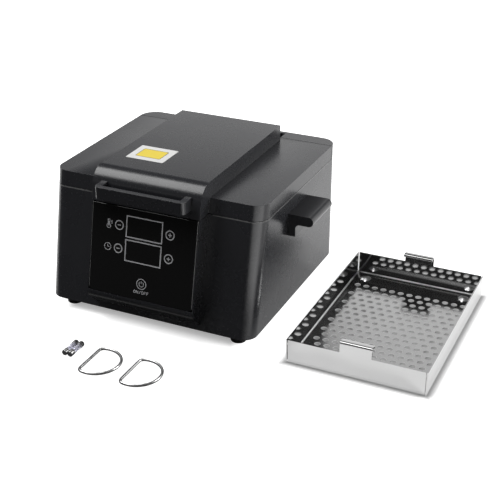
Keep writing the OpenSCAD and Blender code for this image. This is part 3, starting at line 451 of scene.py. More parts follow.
def slab(bm, outline, holes, low, high, matrix=None):
    """Adds a flat plate with this outline and holes, from height low to high, all in millimetres."""
    loops = [list(outline)] + [list(h) for h in holes]
    flat = [p for loop in loops for p in loop]
    triangles = tessellate_polygon([[Vector((x, y, 0)) for x, y in loop] for loop in loops])
    floor = [bm.verts.new((x * MM, y * MM, low * MM)) for x, y in flat]
    roof = [bm.verts.new((x * MM, y * MM, high * MM)) for x, y in flat]
    for a, b, c in triangles:
        bm.faces.new((floor[c], floor[b], floor[a]))
        bm.faces.new((roof[a], roof[b], roof[c]))
    first = 0
    for loop in loops:
        for i in range(len(loop)):
            j = first + (i + 1) % len(loop)
            bm.faces.new((floor[first + i], floor[j], roof[j], roof[first + i]))
        first += len(loop)
    if matrix:
        bmesh.ops.transform(bm, matrix=matrix, verts=floor + roof)
    return bm


def loft(sections, closed=False):
    """Skin over outlines with equal numbers of points, each with its height, in millimetres."""
    bm = bmesh.new()
    rings = [[bm.verts.new((x * MM, y * MM, z * MM)) for x, y in outline] for outline, z in sections]
    skin(bm, rings + rings[:1] if closed else rings)
    if not closed:
        bm.faces.new(rings[0])
        bm.faces.new(rings[-1])
    return bm


LEAST_MITRE = 0.35


def enclosed(outline):
    """Twice the area inside an outline."""
    return abs(sum(a[0] * b[1] - b[0] * a[1] for a, b in zip(outline, outline[1:] + outline[:1])))


def band(points, width, closed):
    """Outlines of a line of this width along points: outer first, then the hole of a closed one."""
    sides = [[], []]
    count = len(points)
    for i, (x, y) in enumerate(points):
        before = Vector(points[i - 1]) if closed or i else None
        after = Vector(points[(i + 1) % count]) if closed or i < count - 1 else None
        here = Vector((x, y))
        into = (here - before).normalized() if before is not None else (after - here).normalized()
        out = (after - here).normalized() if after is not None else into
        across = Vector((-into.y - out.y, into.x + out.x)).normalized()
        reach = width / 2 / max(LEAST_MITRE, across.dot(Vector((-into.y, into.x))))
        sides[0].append(tuple(here + across * reach))
        sides[1].append(tuple(here - across * reach))
    if closed:
        return sorted(sides, key=enclosed, reverse=True)
    return [sides[0] + sides[1][::-1]]


def box_mm(node):
    """Lowest and highest corner of a CAD node in millimetres."""
    low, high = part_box(node)
    return low / MM, high / MM


def at(x, y, z, turn=None):
    """Place of a piece in millimetres, with an optional turn as a matrix."""
    return Matrix.Translation(Vector((x, y, z)) * MM) @ (turn or Matrix.Identity(4))


SCREW_SIDES = 32
# parts of the head's diameter, then parts of its height
CROSS_REACH, CROSS_WIDE = 0.30, 0.075
CROSS_DEEP, HEAD_ROUND = 0.55, 0.35


def cross_screw(bm, head_d, head_h, shank_d, shank_len, matrix):
    """Adds a pan-head screw with a cross recess: its head stands on the origin, its shank goes down."""
    half, arm, depth = head_d * CROSS_REACH, head_d * CROSS_WIDE, head_h * CROSS_DEEP
    cross = [(arm, arm), (arm, half), (-arm, half), (-arm, arm), (-half, arm), (-half, -arm),
             (-arm, -arm), (-arm, -half), (arm, -half), (arm, -arm), (half, -arm), (half, arm)]
    rim = head_h * HEAD_ROUND
    levels = [(shank_d / 2, -shank_len), (shank_d / 2, 0), (head_d / 2, 0), (head_d / 2, head_h - rim)]
    levels += [(head_d / 2 - rim + x, head_h - rim + z) for x, z in arc((0, 0), rim, 20, 90, 4)]
    head = bmesh.new()
    circles = [circle(0, 0, r, SCREW_SIDES) for r, _ in levels]
    rings = [[head.verts.new((x * MM, y * MM, z * MM)) for x, y in outline]
             for outline, (_, z) in zip(circles, levels)]
    skin(head, rings)
    head.faces.new(rings[0])
    top = [head.verts.new((x * MM, y * MM, head_h * MM)) for x, y in cross]
    bottom = [head.verts.new((x * MM, y * MM, (head_h - depth) * MM)) for x, y in cross]
    corners = rings[-1] + top
    for a, b, c in tessellate_polygon([[Vector((*p, 0)) for p in loop] for loop in (circles[-1], cross)]):
        head.faces.new((corners[a], corners[b], corners[c]))
    skin(head, [top, bottom])
    head.faces.new(bottom)
    bmesh.ops.transform(head, matrix=matrix, verts=head.verts)
    carrier = bpy.data.meshes.new("screw")
    head.to_mesh(carrier)
    head.free()
    bm.from_mesh(carrier)
    bpy.data.meshes.remove(carrier)


# ---- Housing, lid and handles ----
EDGES = {"housing": 0.95, "lid_shell": 0.95, "pull_handle": 0.9, "right_side_handle": 1.0,
         "left_side_handle": 1.0, "glass_panel": 0.6, "base_plate": 0.2, "mains_inlet": 0.5,
         "fuse_drawer": 0.4, "hinge_arms": 0.4, "hinge_bracket": 0.3}
for node, edge in EDGES.items():
    softened(node, edge, 1 if node == "glass_panel" else 2)

# ---- Panel: printed frames, keys and signs on the glass ----
# over its rise the body leans in by these amounts
BODY_RISE, FRONT_RUN, REAR_RUN = 117.4, 25.2, 3
FRONT_LEAN, REAR_LEAN = math.atan(FRONT_RUN / BODY_RISE), math.atan(REAR_RUN / BODY_RISE)
GLASS_T = 3
glass_low = box_mm("glass_panel")[0]
# the glass's outer face, measured from the middle of its lower edge
PANEL = at(0, glass_low.y, glass_low.z + GLASS_T * math.sin(FRONT_LEAN), Matrix((
    (1, 0, 0, 0), (0, math.sin(FRONT_LEAN), -math.cos(FRONT_LEAN), 0),
    (0, math.cos(FRONT_LEAN), math.sin(FRONT_LEAN), 0), (0, 0, 0, 1))))
INK_LOW, INK_HIGH = -0.05, 0.02
LINE = {"frame": 1.05, "key": 0.95, "key mark": 0.8, "power key": 0.7, "power mark": 0.65,
        "stem": 0.9, "clock": 0.6, "hands": 0.55, "fine": 0.5}
KEY_X = (-24.0, 26.0)
ROW_UP = (42.8, 63.9)
KEY_R, MARK_REACH, MARK_GAP = 3.9, 1.7, 0.4
DISPLAY_X = (-16.7, 18.3)
DISPLAY_UP = ((33.3, 52.1), (54.9, 73.6))
POWER_AT = (1.2, 14.8)
POWER_R, POWER_MARK_R = 4.6, 2.3
WORD_AT = (-5.9, 5.9)
WORD_HIGH, LETTER_WIDE, LETTER_STEP = 2.5, 1.75, 2.6
SIGN_X = -34.5
CLOCK_R, BULB_R, STEM_R = 3.2, 1.9, 0.9


def printed(bm, points, width, closed=False):
    """Adds an ink line along points on the glass."""
    outer, *holes = band(points, width, closed)
    slab(bm, outer, holes, INK_LOW, INK_HIGH, PANEL)


# lines of each letter on a grid one letter wide and high, and whether a line closes on itself
LETTER = {
    "O": [([(0.5 + 0.5 * math.cos(math.radians(a)), 0.5 + 0.5 * math.sin(math.radians(a)))
            for a in range(0, 360, 20)], True)],
    "N": [([(0, 0), (0, 1), (1, 0), (1, 1)], False)],
    "F": [([(1, 1), (0, 1), (0, 0)], False), ([(0, 0.5), (0.8, 0.5)], False)],
    "/": [([(0.1, -0.1), (0.9, 1.1)], False)],
}


def print_keys(bm):
    """Two display frames, each with a minus key on its left and a plus key on its right."""
    left, right = DISPLAY_X
    plus = KEY_X[1]
    for low, high in DISPLAY_UP:
        printed(bm, [(left, low), (right, low), (right, high), (left, high)], LINE["frame"], True)
    for up in ROW_UP:
        for x in KEY_X:
            printed(bm, circle(x, up, KEY_R), LINE["key"], True)
            printed(bm, [(x - MARK_REACH, up), (x + MARK_REACH, up)], LINE["key mark"])
        for side in (-1, 1):
            printed(bm, [(plus, up + side * MARK_GAP), (plus, up + side * MARK_REACH)], LINE["key mark"])


def print_power_key(bm):
    """The power sign in its circle, over its word."""
    x, up = POWER_AT
    printed(bm, circle(x, up, POWER_R, 44), LINE["power key"], True)
    printed(bm, arc((x, up), POWER_MARK_R, 122, 418, 22), LINE["power mark"])
    printed(bm, [(x, up + 0.4), (x, up + 2.8)], LINE["power mark"])
    for i, letter in enumerate("ON/OFF"):
        for points, closed in LETTER[letter]:
            printed(bm, [(WORD_AT[0] + i * LETTER_STEP + px * LETTER_WIDE, WORD_AT[1] + py * WORD_HIGH)
                         for px, py in points], LINE["fine"], closed)


def print_signs(bm):
    """A thermometer beside the upper row and a clock beside the lower."""
    clock, warm = ROW_UP
    bulb = warm - 2.3
    printed(bm, arc((SIGN_X, bulb), BULB_R, 118, 422, 20) + [(SIGN_X + STEM_R, warm + 2.6)]
            + arc((SIGN_X, warm + 2.8), STEM_R, 0, 180, 6) + [(SIGN_X - STEM_R, warm - 0.6)],
            LINE["fine"], True)
    printed(bm, [(SIGN_X, bulb), (SIGN_X, warm + 1.6)], LINE["stem"])
    for k in range(3):
        tick = warm + 0.2 + 1.3 * k
        printed(bm, [(SIGN_X + 2.2, tick), (SIGN_X + 3.6, tick)], LINE["fine"])
    printed(bm, circle(SIGN_X, clock, CLOCK_R, 32), LINE["clock"], True)
    printed(bm, [(SIGN_X, clock + 2.1), (SIGN_X, clock), (SIGN_X + 1.6, clock)], LINE["hands"])


def panel_print():
    """All the ink on the glass as one mesh."""
    bm = bmesh.new()
    print_keys(bm)
    print_power_key(bm)
    print_signs(bm)
    return finished(bm, "panel_print")


add_piece("panel_print", panel_print(), "panel_glass", "housing", finish=INK)

# ---- Sticker on the lid: a plain yellow field with a black border on white ----
STICKER_R = 1.2
FIELD, FIELD_R = Vector((24, 17)), 1.0
BORDER, BORDER_R, BORDER_LINE = Vector((25.2, 18.2)), 1.5, 0.5
# the sheet ends below the solid's top, so that the ink stays inside it
SHEET_BELOW, INK_SINK, INK_RISE = 0.06, 0.01, 0.03
sticker_low, sticker_high = box_mm("lid_sticker")
sheet_top = sticker_high.z - SHEET_BELOW
print_low, print_high = sheet_top - INK_SINK, sheet_top + INK_RISE


def on_sticker(size, r):
    """Outline of a field of this size in the sticker's middle."""
    middle = ((sticker_low + sticker_high) / 2).xy
    return round_corners(*(middle - size / 2), *(middle + size / 2), r)


def sticker_part(name, outline, low, high, holes=(), **what):
    mesh = finished(slab(bmesh.new(), outline, holes, low, high), name)
    add_piece(name, mesh, "sticker", "lid", **what)


sticker_part("sticker_sheet", on_sticker((sticker_high - sticker_low).xy, STICKER_R),
             sticker_low.z, sheet_top, stands_for=["lid_sticker"])
sticker_part("sticker_block", on_sticker(FIELD, FIELD_R), print_low, print_high, finish=YELLOW)
sticker_part("sticker_border", on_sticker(BORDER, BORDER_R), print_low, print_high,
             [on_sticker(BORDER - Vector((2, 2)) * BORDER_LINE, BORDER_R * 0.7)], finish=DARK_INK)

# ---- Feet and screws: each screw has a head and a shank, given by diameter and length ----
FOOT_R, SOLE_R, FOOT_BORE_R, FOOT_SEAT, FOOT_CHAMFER, FOOT_BACK_R = 8, 1.1, 4.0, 4.0, 0.4, 1.5
BASE_HEAD, INLET_HEAD, LINER_HEAD = (6, 2), (5.6, 1.6), (5, 1.2)
FOOT_SHANK, BASE_SHANK, INLET_SHANK, LINER_SHANK = (3, 10.5), (3, 11.5), (3, 8), (2.5, 6)
# how far ahead of the rearmost point the inlet's upper and lower screw stand
UPPER_SCREW_IN, LOWER_SCREW_IN = 2.69, 1.67
DOWN = Matrix.Rotation(math.pi, 4, "X")
BACKWARD = Matrix.Rotation(REAR_LEAN - math.pi / 2, 4, "X")


def places(node, radius):
    """Where the four feet or screws of this radius stand.

    The box round a faceted circle is a little small, so the places are rounded to 0.1 mm.
    """
    reach = box_mm(node)[1]
    half_x, half_y = round(reach.x - radius, 1), round(reach.y - radius, 1)
    return [(x, y) for x in (-half_x, half_x) for y in (-half_y, half_y)]


def rubber_feet():
    """Four feet with a round sole edge and a bore for the screw's head."""
    top, sole_r = box_mm("feet")[1].z, FOOT_R - 2
    turns = [math.radians(t) for t in (20, 40, 60, 80)]
    profile = [(FOOT_BORE_R, FOOT_SEAT), (FOOT_BORE_R, FOOT_CHAMFER), (FOOT_BORE_R + FOOT_CHAMFER, 0.0),
               (sole_r, 0.0)]
    profile += [(sole_r + SOLE_R * math.sin(a), SOLE_R - SOLE_R * math.cos(a)) for a in turns]
    profile += [(FOOT_R - 0.15, top - 0.9), (FOOT_R - 0.5, top - 0.1), (FOOT_R - 1.2, top),
                (FOOT_BACK_R, top), (FOOT_BACK_R, FOOT_SEAT), (FOOT_BORE_R, FOOT_SEAT)]
    bm = bmesh.new()
    for x, y in places("feet", FOOT_R):
        turned(profile, 48, at(x, y, 0), bm)
    return finished(bm, "rubber_feet")


def screw_set(name, body, node, head, shank, matrices):
    """Screws with this head and shank, each a diameter and a length, at matrices."""
    bm = bmesh.new()
    for matrix in matrices:
        cross_screw(bm, *head, *shank, matrix)
    add_piece(name, finished(bm, name), "screws", body, [node])


add_piece("rubber_feet", rubber_feet(), "rubber", "housing", ["feet"])
screw_set("foot_screw_set", "housing", "foot_screws", BASE_HEAD, FOOT_SHANK,
          [at(x, y, FOOT_SEAT, DOWN) for x, y in places("foot_screws", BASE_HEAD[0] / 2)])
base_z = box_mm("base_plate")[0].z
screw_set("base_screw_set", "housing", "base_screws", BASE_HEAD, BASE_SHANK,
          [at(x, y, base_z, DOWN) for x, y in places("base_screws", BASE_HEAD[0] / 2)])

inlet_low, inlet_high = box_mm("mains_inlet")
inlet_x = (inlet_low.x + inlet_high.x) / 2
screw_low, screw_high = box_mm("inlet_screws")
inlet_r = INLET_HEAD[0] / 2
screw_set("inlet_screw_pair", "housing", "inlet_screws", INLET_HEAD, INLET_SHANK,
          [at(inlet_x, screw_high.y - UPPER_SCREW_IN, screw_high.z - inlet_r, BACKWARD),
           at(inlet_x, screw_high.y - LOWER_SCREW_IN, screw_low.z + inlet_r, BACKWARD)])

screw_low, screw_high = box_mm("liner_screws")
liner_r = LINER_HEAD[0] / 2
liner_x = (screw_low.x + liner_r, screw_high.x - liner_r)
liner_y = (screw_low.y + liner_r, (screw_low.y + screw_high.y) / 2, screw_high.y - liner_r)
screw_set("liner_screw_set", "lid", "liner_screws", LINER_HEAD, LINER_SHANK,
          [at(x, y, screw_low.z + LINER_HEAD[1], DOWN) for x in liner_x for y in liner_y])

# ---- Chamber, liner and seal: drawn sheet with rounded bends ----
# angles along a quarter turn
QUARTER = [math.radians(t) for t in range(0, 91, 15)]
COARSE_QUARTER = [math.radians(t) for t in range(0, 91, 18)]


def ring_outline(low, high, inset, r):
    """Outline that runs this far inside a box."""
    return round_corners(low.x + inset, low.y + inset, high.x - inset, high.y - inset, r, 10)


TUB_SHEET, TUB_BEND, TUB_FLANGE, TUB_LIP, TUB_EDGE, TUB_CORNER_R = 1.0, 4.0, 4.3, 1.4, 0.35, 8
LINER_SHEET, LINER_BEND, LINER_CORNER_R = 1, 2.2, 8
SEAL_WIDE, SEAL_CORNER_R, SEAL_ROUND = 3.0, 8, 0.42


def drawn_tub():
    """The chamber: a deep pan with a round bend at its floor and a flange round its mouth."""
    low, high = box_mm("chamber_tub")
    flange, sheet, bend, lip, edge = TUB_FLANGE, TUB_SHEET, TUB_BEND, TUB_LIP, TUB_EDGE
    inner_r, outer_r = TUB_CORNER_R, TUB_CORNER_R + sheet
    inner, floor = flange + sheet, low.z + sheet
    outer_bend = bend + sheet
    path = [(inner + bend - bend * math.sin(a), floor + bend - bend * math.cos(a), inner_r)
            for a in QUARTER]
    path += [(inner - lip + lip * math.cos(a), high.z - lip + lip * math.sin(a), inner_r)
             for a in COARSE_QUARTER]
    path += [(edge, high.z, inner_r), (0, high.z - edge, inner_r), (0, high.z - sheet, inner_r),
             (flange, high.z - sheet, outer_r)]
    path += [(flange + outer_bend * (1 - math.cos(a)), low.z + outer_bend * (1 - math.sin(a)), outer_r)
             for a in QUARTER]
    return loft([(ring_outline(low, high, inset, r), z) for inset, z, r in path])


def drawn_pan(node, sheet, bend, r):
    """A shallow pan, open at the top, with a round bend along its lower edge."""
    low, high = box_mm(node)
    inner, floor = bend - sheet, low.z + sheet
    path = [(bend * (1 - math.sin(a)), low.z + bend * (1 - math.cos(a))) for a in QUARTER]
    path += [(0, high.z), (sheet, high.z)]
    path += [(sheet + inner * (1 - math.cos(a)), floor + inner * (1 - math.sin(a))) for a in QUARTER]
    return loft([(ring_outline(low, high, inset, r), z) for inset, z in path])


def moulded_ring(node, width, r):
    """A seal ring whose section is rounded below."""
    low, high = box_mm(node)
    edge = (high.z - low.z) * SEAL_ROUND
    path = [(edge * (1 - math.cos(a)), low.z + edge * (1 - math.sin(a))) for a in QUARTER]
    path += [(width - edge * (1 - math.sin(a)), low.z + edge * (1 - math.cos(a))) for a in QUARTER]
    path += [(width, high.z), (0, high.z)]
    return loft([(ring_outline(low, high, inset, r), z) for inset, z in path], closed=True)


add_piece("drawn_chamber", finished(drawn_tub(), "drawn_chamber", 50),
          "stainless", "housing", ["chamber_tub"])
liner = drawn_pan("lid_liner", LINER_SHEET, LINER_BEND, LINER_CORNER_R)
add_piece("pressed_liner", finished(liner, "pressed_liner", 50), "stainless", "lid", ["lid_liner"])
seal = moulded_ring("lid_seal", SEAL_WIDE, SEAL_CORNER_R)
add_piece("silicone_ring", finished(seal, "silicone_ring", 60), "silicone", "lid", ["lid_seal"])

# ---- Tray: one folded sheet, perforated, with four pressed domes ----
TRAY_SHEET, TRAY_BEND, CORNER_SEAM = 1.0, 1.3, 0.6
HOLE_R, HOLE_PITCH, ROW_PITCH = 2.9, 8.6, 9.0
LONG_ROW, ROWS = 13, 15
DOME_R, DOME_HIGH, DOME_IN, DOME_SIDES = 6.0, 2.3, 13.5, 36
# rings of a dome: each one's part of the radius and of the height
DOME_PROFILE = [(1, 0), (0.92, 0.08), (0.8, 0.24), (0.35, 0.86), (0.22, 0.97), (0.1, 1.0)]
TAB_HALF, TAB_RISE, TAB_BEND, TAB_FLAP, TAB_ROLL, TAB_DROP = 14.0, 10, 1.4, 7.0, 0.8, 1.6
tray_low, tray_high = box_mm("tray_walls")
tray_middle, tray_half = (tray_low + tray_high) / 2, (tray_high - tray_low) / 2
tray_rise = tray_high.z - tray_low.z
flat_x, flat_y = tray_half.x - TRAY_BEND, tray_half.y - TRAY_BEND


def tray_point(bm, x, y, z):
    """A point of the sheet's outer face, measured from the middle of the tray's underside."""
    return bm.verts.new(((tray_middle.x + x) * MM, (tray_middle.y + y) * MM, (tray_low.z + z) * MM))


def tray_holes():
    """Rows of holes; every second row has one fewer, between those of its neighbours."""
    counts = [LONG_ROW - row % 2 for row in range(ROWS)]
    return [circle((k - (count - 1) / 2) * HOLE_PITCH, (row - (ROWS - 1) / 2) * ROW_PITCH, HOLE_R, 20)
            for row, count in enumerate(counts) for k in range(count)]


def tray_floor(bm):
    """The flat of the floor with its holes, and the domes pressed up near its corners."""
    domes = [(x, y) for x in (DOME_IN - tray_half.x, tray_half.x - DOME_IN)
             for y in (DOME_IN - tray_half.y, tray_half.y - DOME_IN)]
    loops = [[(-flat_x, -flat_y), (flat_x, -flat_y), (flat_x, flat_y), (-flat_x, flat_y)]]
    loops += tray_holes() + [circle(x, y, DOME_R, DOME_SIDES) for x, y in domes]
    flat = [tray_point(bm, x, y, 0) for loop in loops for x, y in loop]
    for a, b, c in tessellate_polygon([[Vector((x, y, 0)) for x, y in loop] for loop in loops]):
        bm.faces.new((flat[a], flat[b], flat[c]))
    for x, y in domes:
        rings = [[tray_point(bm, px, py, DOME_HIGH * rise)
                  for px, py in circle(x, y, DOME_R * r, DOME_SIDES)] for r, rise in DOME_PROFILE]
        skin(bm, rings)
        bm.faces.new(rings[-1])


def strip(bm, rows):
    """Faces between neighbouring open rows with equal numbers of points."""
    for low, high in zip(rows, rows[1:]):
        for i in range(len(low) - 1):
            bm.faces.new((low[i], low[i + 1], high[i + 1], high[i]))


def tray_walls(bm):
    """Four walls folded up from the floor's edges; a tab rises from the front one and the back one."""
    wall = [(TRAY_BEND * math.sin(a), TRAY_BEND * (1 - math.cos(a))) for a in QUARTER]
    wall += [(TRAY_BEND, tray_rise - TAB_RISE)]
    tab = [(TAB_BEND * (1 - math.cos(a)), tray_rise - TAB_BEND * (1 - math.sin(a)))
           for a in COARSE_QUARTER]
    tab += [(TAB_FLAP - TAB_ROLL, tray_rise), (TAB_FLAP - 0.3, tray_rise - 0.25),
            (TAB_FLAP, tray_rise - TAB_ROLL), (TAB_FLAP, tray_rise - TAB_ROLL - TAB_DROP)]
    # a wall's lowest row is the flat floor's edge, the rows above reach to the corners
    end_x, end_y = tray_half.x - TRAY_SHEET - CORNER_SEAM, tray_half.y
    above = len(wall) - 1
    for side in (-1, 1):
        rows = [[tray_point(bm, x, side * (flat_y + out), up)
                 for x in (-reach, -TAB_HALF, TAB_HALF, reach)]
                for reach, (out, up) in zip([flat_x] + [end_x] * above, wall)]
        strip(bm, rows)
        strip(bm, [rows[-1][1:3]] + [
            [tray_point(bm, x, side * (tray_half.y - inward), up) for x in (-TAB_HALF, TAB_HALF)]
            for inward, up in tab])
        strip(bm, [[tray_point(bm, side * (flat_x + out), y, up) for y in (-reach, reach)]
                   for reach, (out, up) in zip([flat_y] + [end_y] * above, wall)])


def folded_tray():
    """The outer face of the folded sheet, given its thickness inward."""
    bm = bmesh.new()
    tray_floor(bm)
    tray_walls(bm)
    return smoothed(with_modifier(finished(bm, "tray_sheet", 40), "SOLIDIFY", {
        "thickness": TRAY_SHEET * MM, "offset": -1, "use_even_offset": True}), 38)


def tray_steel():
    """Polished sheet with rolling lines, duller on its floor, and duller and painted paler where it is
    folded or pressed: a painted highlight.
    """
    f = new_finish("tray_steel")
    middle, half = tray_middle * MM, tray_half * MM
    sheet, bend, dome_in, dome_r = (size * MM for size in (TRAY_SHEET, TRAY_BEND, DOME_IN, DOME_R))
    across, along, up = (f.axis(i) for i in range(3))
    in_x = half.x - (across - middle.x).size()
    in_y = half.y - (along - middle.y).size()
    floor = 1 - up.steps(sheet + 0.1 * MM, sheet + 0.6 * MM)
    low_edge = 1 - up.steps(sheet + 0.6 * MM, sheet + 1.2 * MM)
    past_fold = (bend + 0.5 * MM, bend + 1.1 * MM)
    past_wall = (sheet - 0.4 * MM, sheet - 0.2 * MM)
    fold = 1 - in_x.steps(*past_fold) * in_y.steps(*past_fold)
    inside = in_x.steps(*past_wall) * in_y.steps(*past_wall)
    dome_x, dome_y = in_x - dome_in, in_y - dome_in
    to_dome = dome_x * dome_x + dome_y * dome_y
    dome = 1 - to_dome.power(0.5).steps(dome_r - 1.2 * MM, dome_r - 0.4 * MM)
    # inner folds near the floor and the domes: rougher, and painted paler as a painted highlight
    fold_dome_highlight = (fold * inside * low_edge).largest(dome)
    lines = f.noise(1, 4, 0.65, f.stretched(60, 900, 60))
    scuffs = f.noise(140, 3, 0.6)
    patches = f.noise(18, 2)
    f.surface(
        Base_Color=f.mixed(fold_dome_highlight, f.mixed(patches, grey(0.44), grey(0.50)), grey(0.80)), Metallic=1.0,
        Roughness=0.04 + 0.03 * patches + floor * (0.05 + 0.08 * scuffs) + fold_dome_highlight * 0.30,
        Normal=f.bump(lines + scuffs * 0.5, 4e-7))
    return f.owner


add_piece("folded_tray", folded_tray(), "polished_steel", "tray", ["tray_floor", "tray_walls"],
          tray_steel())

# ---- Lifting rings: one bent wire each, with round corners at the straight side ----
RING_CORNER = 4.5


def bent_ring(node):
    """A bow with a straight side on its left, joined to it by two tight corners."""
    low, high = box_mm(node)
    wire = (high.z - low.z) / 2
    bow = (high.y - low.y) / 2 - wire
    centre = Vector((high.x - wire - bow, (low.y + high.y) / 2, low.z + wire))
    side = centre.x - low.x - wire
    corner_x = RING_CORNER - side
    corner_y = math.sqrt((bow - RING_CORNER) ** 2 - corner_x ** 2)
    turn = math.degrees(math.atan2(corner_y, corner_x))
    path = arc((0, 0), bow, -turn, turn, 40) + arc((corner_x, corner_y), RING_CORNER, turn, 180, 8)[1:]
    path += arc((corner_x, -corner_y), RING_CORNER, 180, 360 - turn, 8)[:-1]
    return finished(wire_loop([centre + Vector((x, y, 0)) for x, y in path], wire), node, 60)


for number, ring in enumerate(("lifting_ring_1", "lifting_ring_2"), 1):
    add_piece("bent_ring_%d" % number, bent_ring(ring), "ring_wire", ring, [ring])

# ---- Glass fuses: drawn caps, a glass tube and the fine wire in it ----
CAP_LEN, CAP_WALL, CAP_FLOOR = 5.0, 0.45, 0.6
GLASS_INSET, GLASS_WALL, GLASS_IN_CAP = 0.35, 0.6, 0.5
FUSE_WIRE_R, WIRE_INSET = 0.22, 2


def fuse_pieces(name, body, axis):
    """Metal and glass of a fuse that lies across (axis 0) or along (axis 1)."""
    low, high = box_mm(name + "_caps")
    radius, half = (high.z - low.z) / 2, (high - low)[axis] / 2
    place = at(*((low + high) / 2), Matrix.Rotation(math.pi / 2, 4, "YX"[axis]))
    mouth = half - CAP_LEN
    cap = [(0, mouth + CAP_FLOOR), (radius - CAP_WALL, mouth + CAP_FLOOR), (radius - CAP_WALL, mouth),
           (radius - 0.1, mouth), (radius, mouth + 0.12), (radius, half - 0.5),
           (radius - 0.15, half - 0.16), (radius - 0.5, half), (1.1, half), (0.8, half - 0.12),
           (0, half - 0.12)]
    wire_end = half - WIRE_INSET
    metal = bmesh.new()
    for side in (-1, 1):
        turned(cap, 40, place @ Matrix.Diagonal((1, 1, side, 1)), metal)
    turned([(0, -wire_end), (FUSE_WIRE_R, -wire_end), (FUSE_WIRE_R, wire_end), (0, wire_end)],
           12, place, metal)
    add_piece(name + "_metal", finished(metal, name + "_metal", 38), "fuse_metal", body, [name + "_caps"])
    outer, reach = radius - GLASS_INSET, mouth + GLASS_IN_CAP
    bore = outer - GLASS_WALL
    glass = turned([(bore, -reach), (outer, -reach), (outer, reach), (bore, reach), (bore, -reach)],
                   40, place)
    add_piece(name + "_glass", finished(glass, name + "_glass", 50), "fuse_glass", body, [name + "_tube"])


fuse_pieces("spare_fuse_1", "spare_fuse_1", 1)
fuse_pieces("spare_fuse_2", "spare_fuse_2", 1)
fuse_pieces("fitted_fuse", "fuse_drawer", 0)

# ---- Hinge pin with chamfered ends ----
PIN_CHAMFER = 0.4
pin_low, pin_high = box_mm("hinge_pin")
pin_r, pin_half = (pin_high.z - pin_low.z) / 2, (pin_high.x - pin_low.x) / 2
pin = turned([(0, -pin_half), (pin_r - PIN_CHAMFER, -pin_half), (pin_r, -pin_half + PIN_CHAMFER),
              (pin_r, pin_half - PIN_CHAMFER), (pin_r - PIN_CHAMFER, pin_half), (0, pin_half)], 40,
             at(*((pin_low + pin_high) / 2), Matrix.Rotation(math.pi / 2, 4, "Y")))
add_piece("ground_pin", finished(pin, "ground_pin"), "hinge_steel", body_of("hinge_pin"), ["hinge_pin"])

# ---- What stays as the solids are, with its own finish ----
for node, solid in frame["nodes"].items():
    if not solid.hide_render:
        solid.data.materials.clear()
        solid.data.materials.append(FINISH[slot_of(node)])

# ---- Floor, backdrop and lamps ----
FLOOR_SIZE, FLOOR_BELOW = 6, 0.2 * MM
FLOOR_GLOW, GLOSSY_GLOW, CORNER_GLOW = 0.36, 0.62, 2.4
# the last grey is a painted shade on the floor under the tray
CARD, TABLE, PAINTED_SHADE_GREY = grey(0.07), grey(0.82), grey(0.45)
# from where to where each mask of the floor changes, in metres: first places across or along it
CARD_BACK, CARD_RIGHT = (-0.13, -0.08), (0.21, 0.26)
CORNER_FRONT, CORNER_RIGHT = (-0.22, -0.13), (0.21, 0.29)
TRAY_FRONT, CARD_LESS = (-0.18, -0.163), 0.12
# then distances from the body and from the tray, negative within them
CARD_SIDE, CARD_END = (-0.01, 0.002), (-0.004, 0.0)
BODY_SHADE, TRAY_SHADE = (-0.026, 0.004), (0.0, 0.012)
# the first pair: where the floor stops glowing under the tray; the second: where the painted shade under
# the tray fades
UNDER_TRAY, PAINTED_SHADE_EDGE = (-0.001, 0.008), (-0.001, 0.005)
# the shade beside the body is narrower than the one in front
SIDE_SHADE, SIDE_START = 2.4, 0.012
housing_low, housing_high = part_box("housing")
BODY_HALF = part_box("base_plate")[1].x


def beyond(axis, low, high):
    """How far outside low to high, in metres, negative within."""
    return (axis - (low + high) / 2).size() - (high - low) / 2


def studio_floor():
    """White floor that keeps shadows, with a dark card in front of the object that only it reflects."""
    f = new_finish("studio_floor")
    across, along = f.axis(0), f.axis(1)
    seen = f.node("ShaderNodeLightPath", out="Is Camera Ray").largest(
        f.node("ShaderNodeLightPath", out="Is Transmission Ray"))
    glossy = f.node("ShaderNodeLightPath", out="Is Glossy Ray")
    past_side = beyond(across, -BODY_HALF, BODY_HALF)
    past_end = beyond(along, housing_low.y, housing_high.y)
    low, high = tray_low * MM, tray_high * MM
    from_tray = beyond(across, low.x, high.x).largest(beyond(along, low.y, high.y))

    # the card lies in front, less wide beside the tray, and under the body
    card_end = across + along.steps(*TRAY_FRONT) * CARD_LESS
    in_front = (1 - along.steps(*CARD_BACK)) * (1 - card_end.steps(*CARD_RIGHT))
    under = (1 - past_side.steps(*CARD_SIDE)) * (1 - past_end.steps(*CARD_END))
    card = in_front.largest(under) * (1 - seen)

    # the seen floor glows, less close to the body and the tray, so that their shadows show there,
    # deepened by painted shade, and not at all under the tray, a painted shade there;
    # the mirrored floor glows too, most of all past the near right corner
    from_body = ((past_side + SIDE_START) * SIDE_SHADE).largest(past_end)
    open_floor = from_body.steps(*BODY_SHADE) * from_tray.steps(*TRAY_SHADE)
    under_tray = 1 - from_tray.steps(*UNDER_TRAY)
    corner = (1 - along.steps(*CORNER_FRONT)) * across.steps(*CORNER_RIGHT)
    glow = seen * (FLOOR_GLOW + (1 - FLOOR_GLOW) * open_floor) * (1 - under_tray) \
        + glossy * (1 - card) * (GLOSSY_GLOW + CORNER_GLOW * corner)

    # the floor is painted a darker grey where the tray rests, a painted shade that stays there when the
    # tray is lifted
    table_and_painted_shade = f.mixed(from_tray.steps(*PAINTED_SHADE_EDGE), PAINTED_SHADE_GREY, TABLE)
    lit = f.node("ShaderNodeBsdfDiffuse", None, {"Color": f.mixed(card, table_and_painted_shade, CARD)})
    f.output(f.node("ShaderNodeAddShader", None, {
        0: lit, 1: f.node("ShaderNodeEmission", None, {"Color": grey(1.0), "Strength": glow})}))
    return f.owner


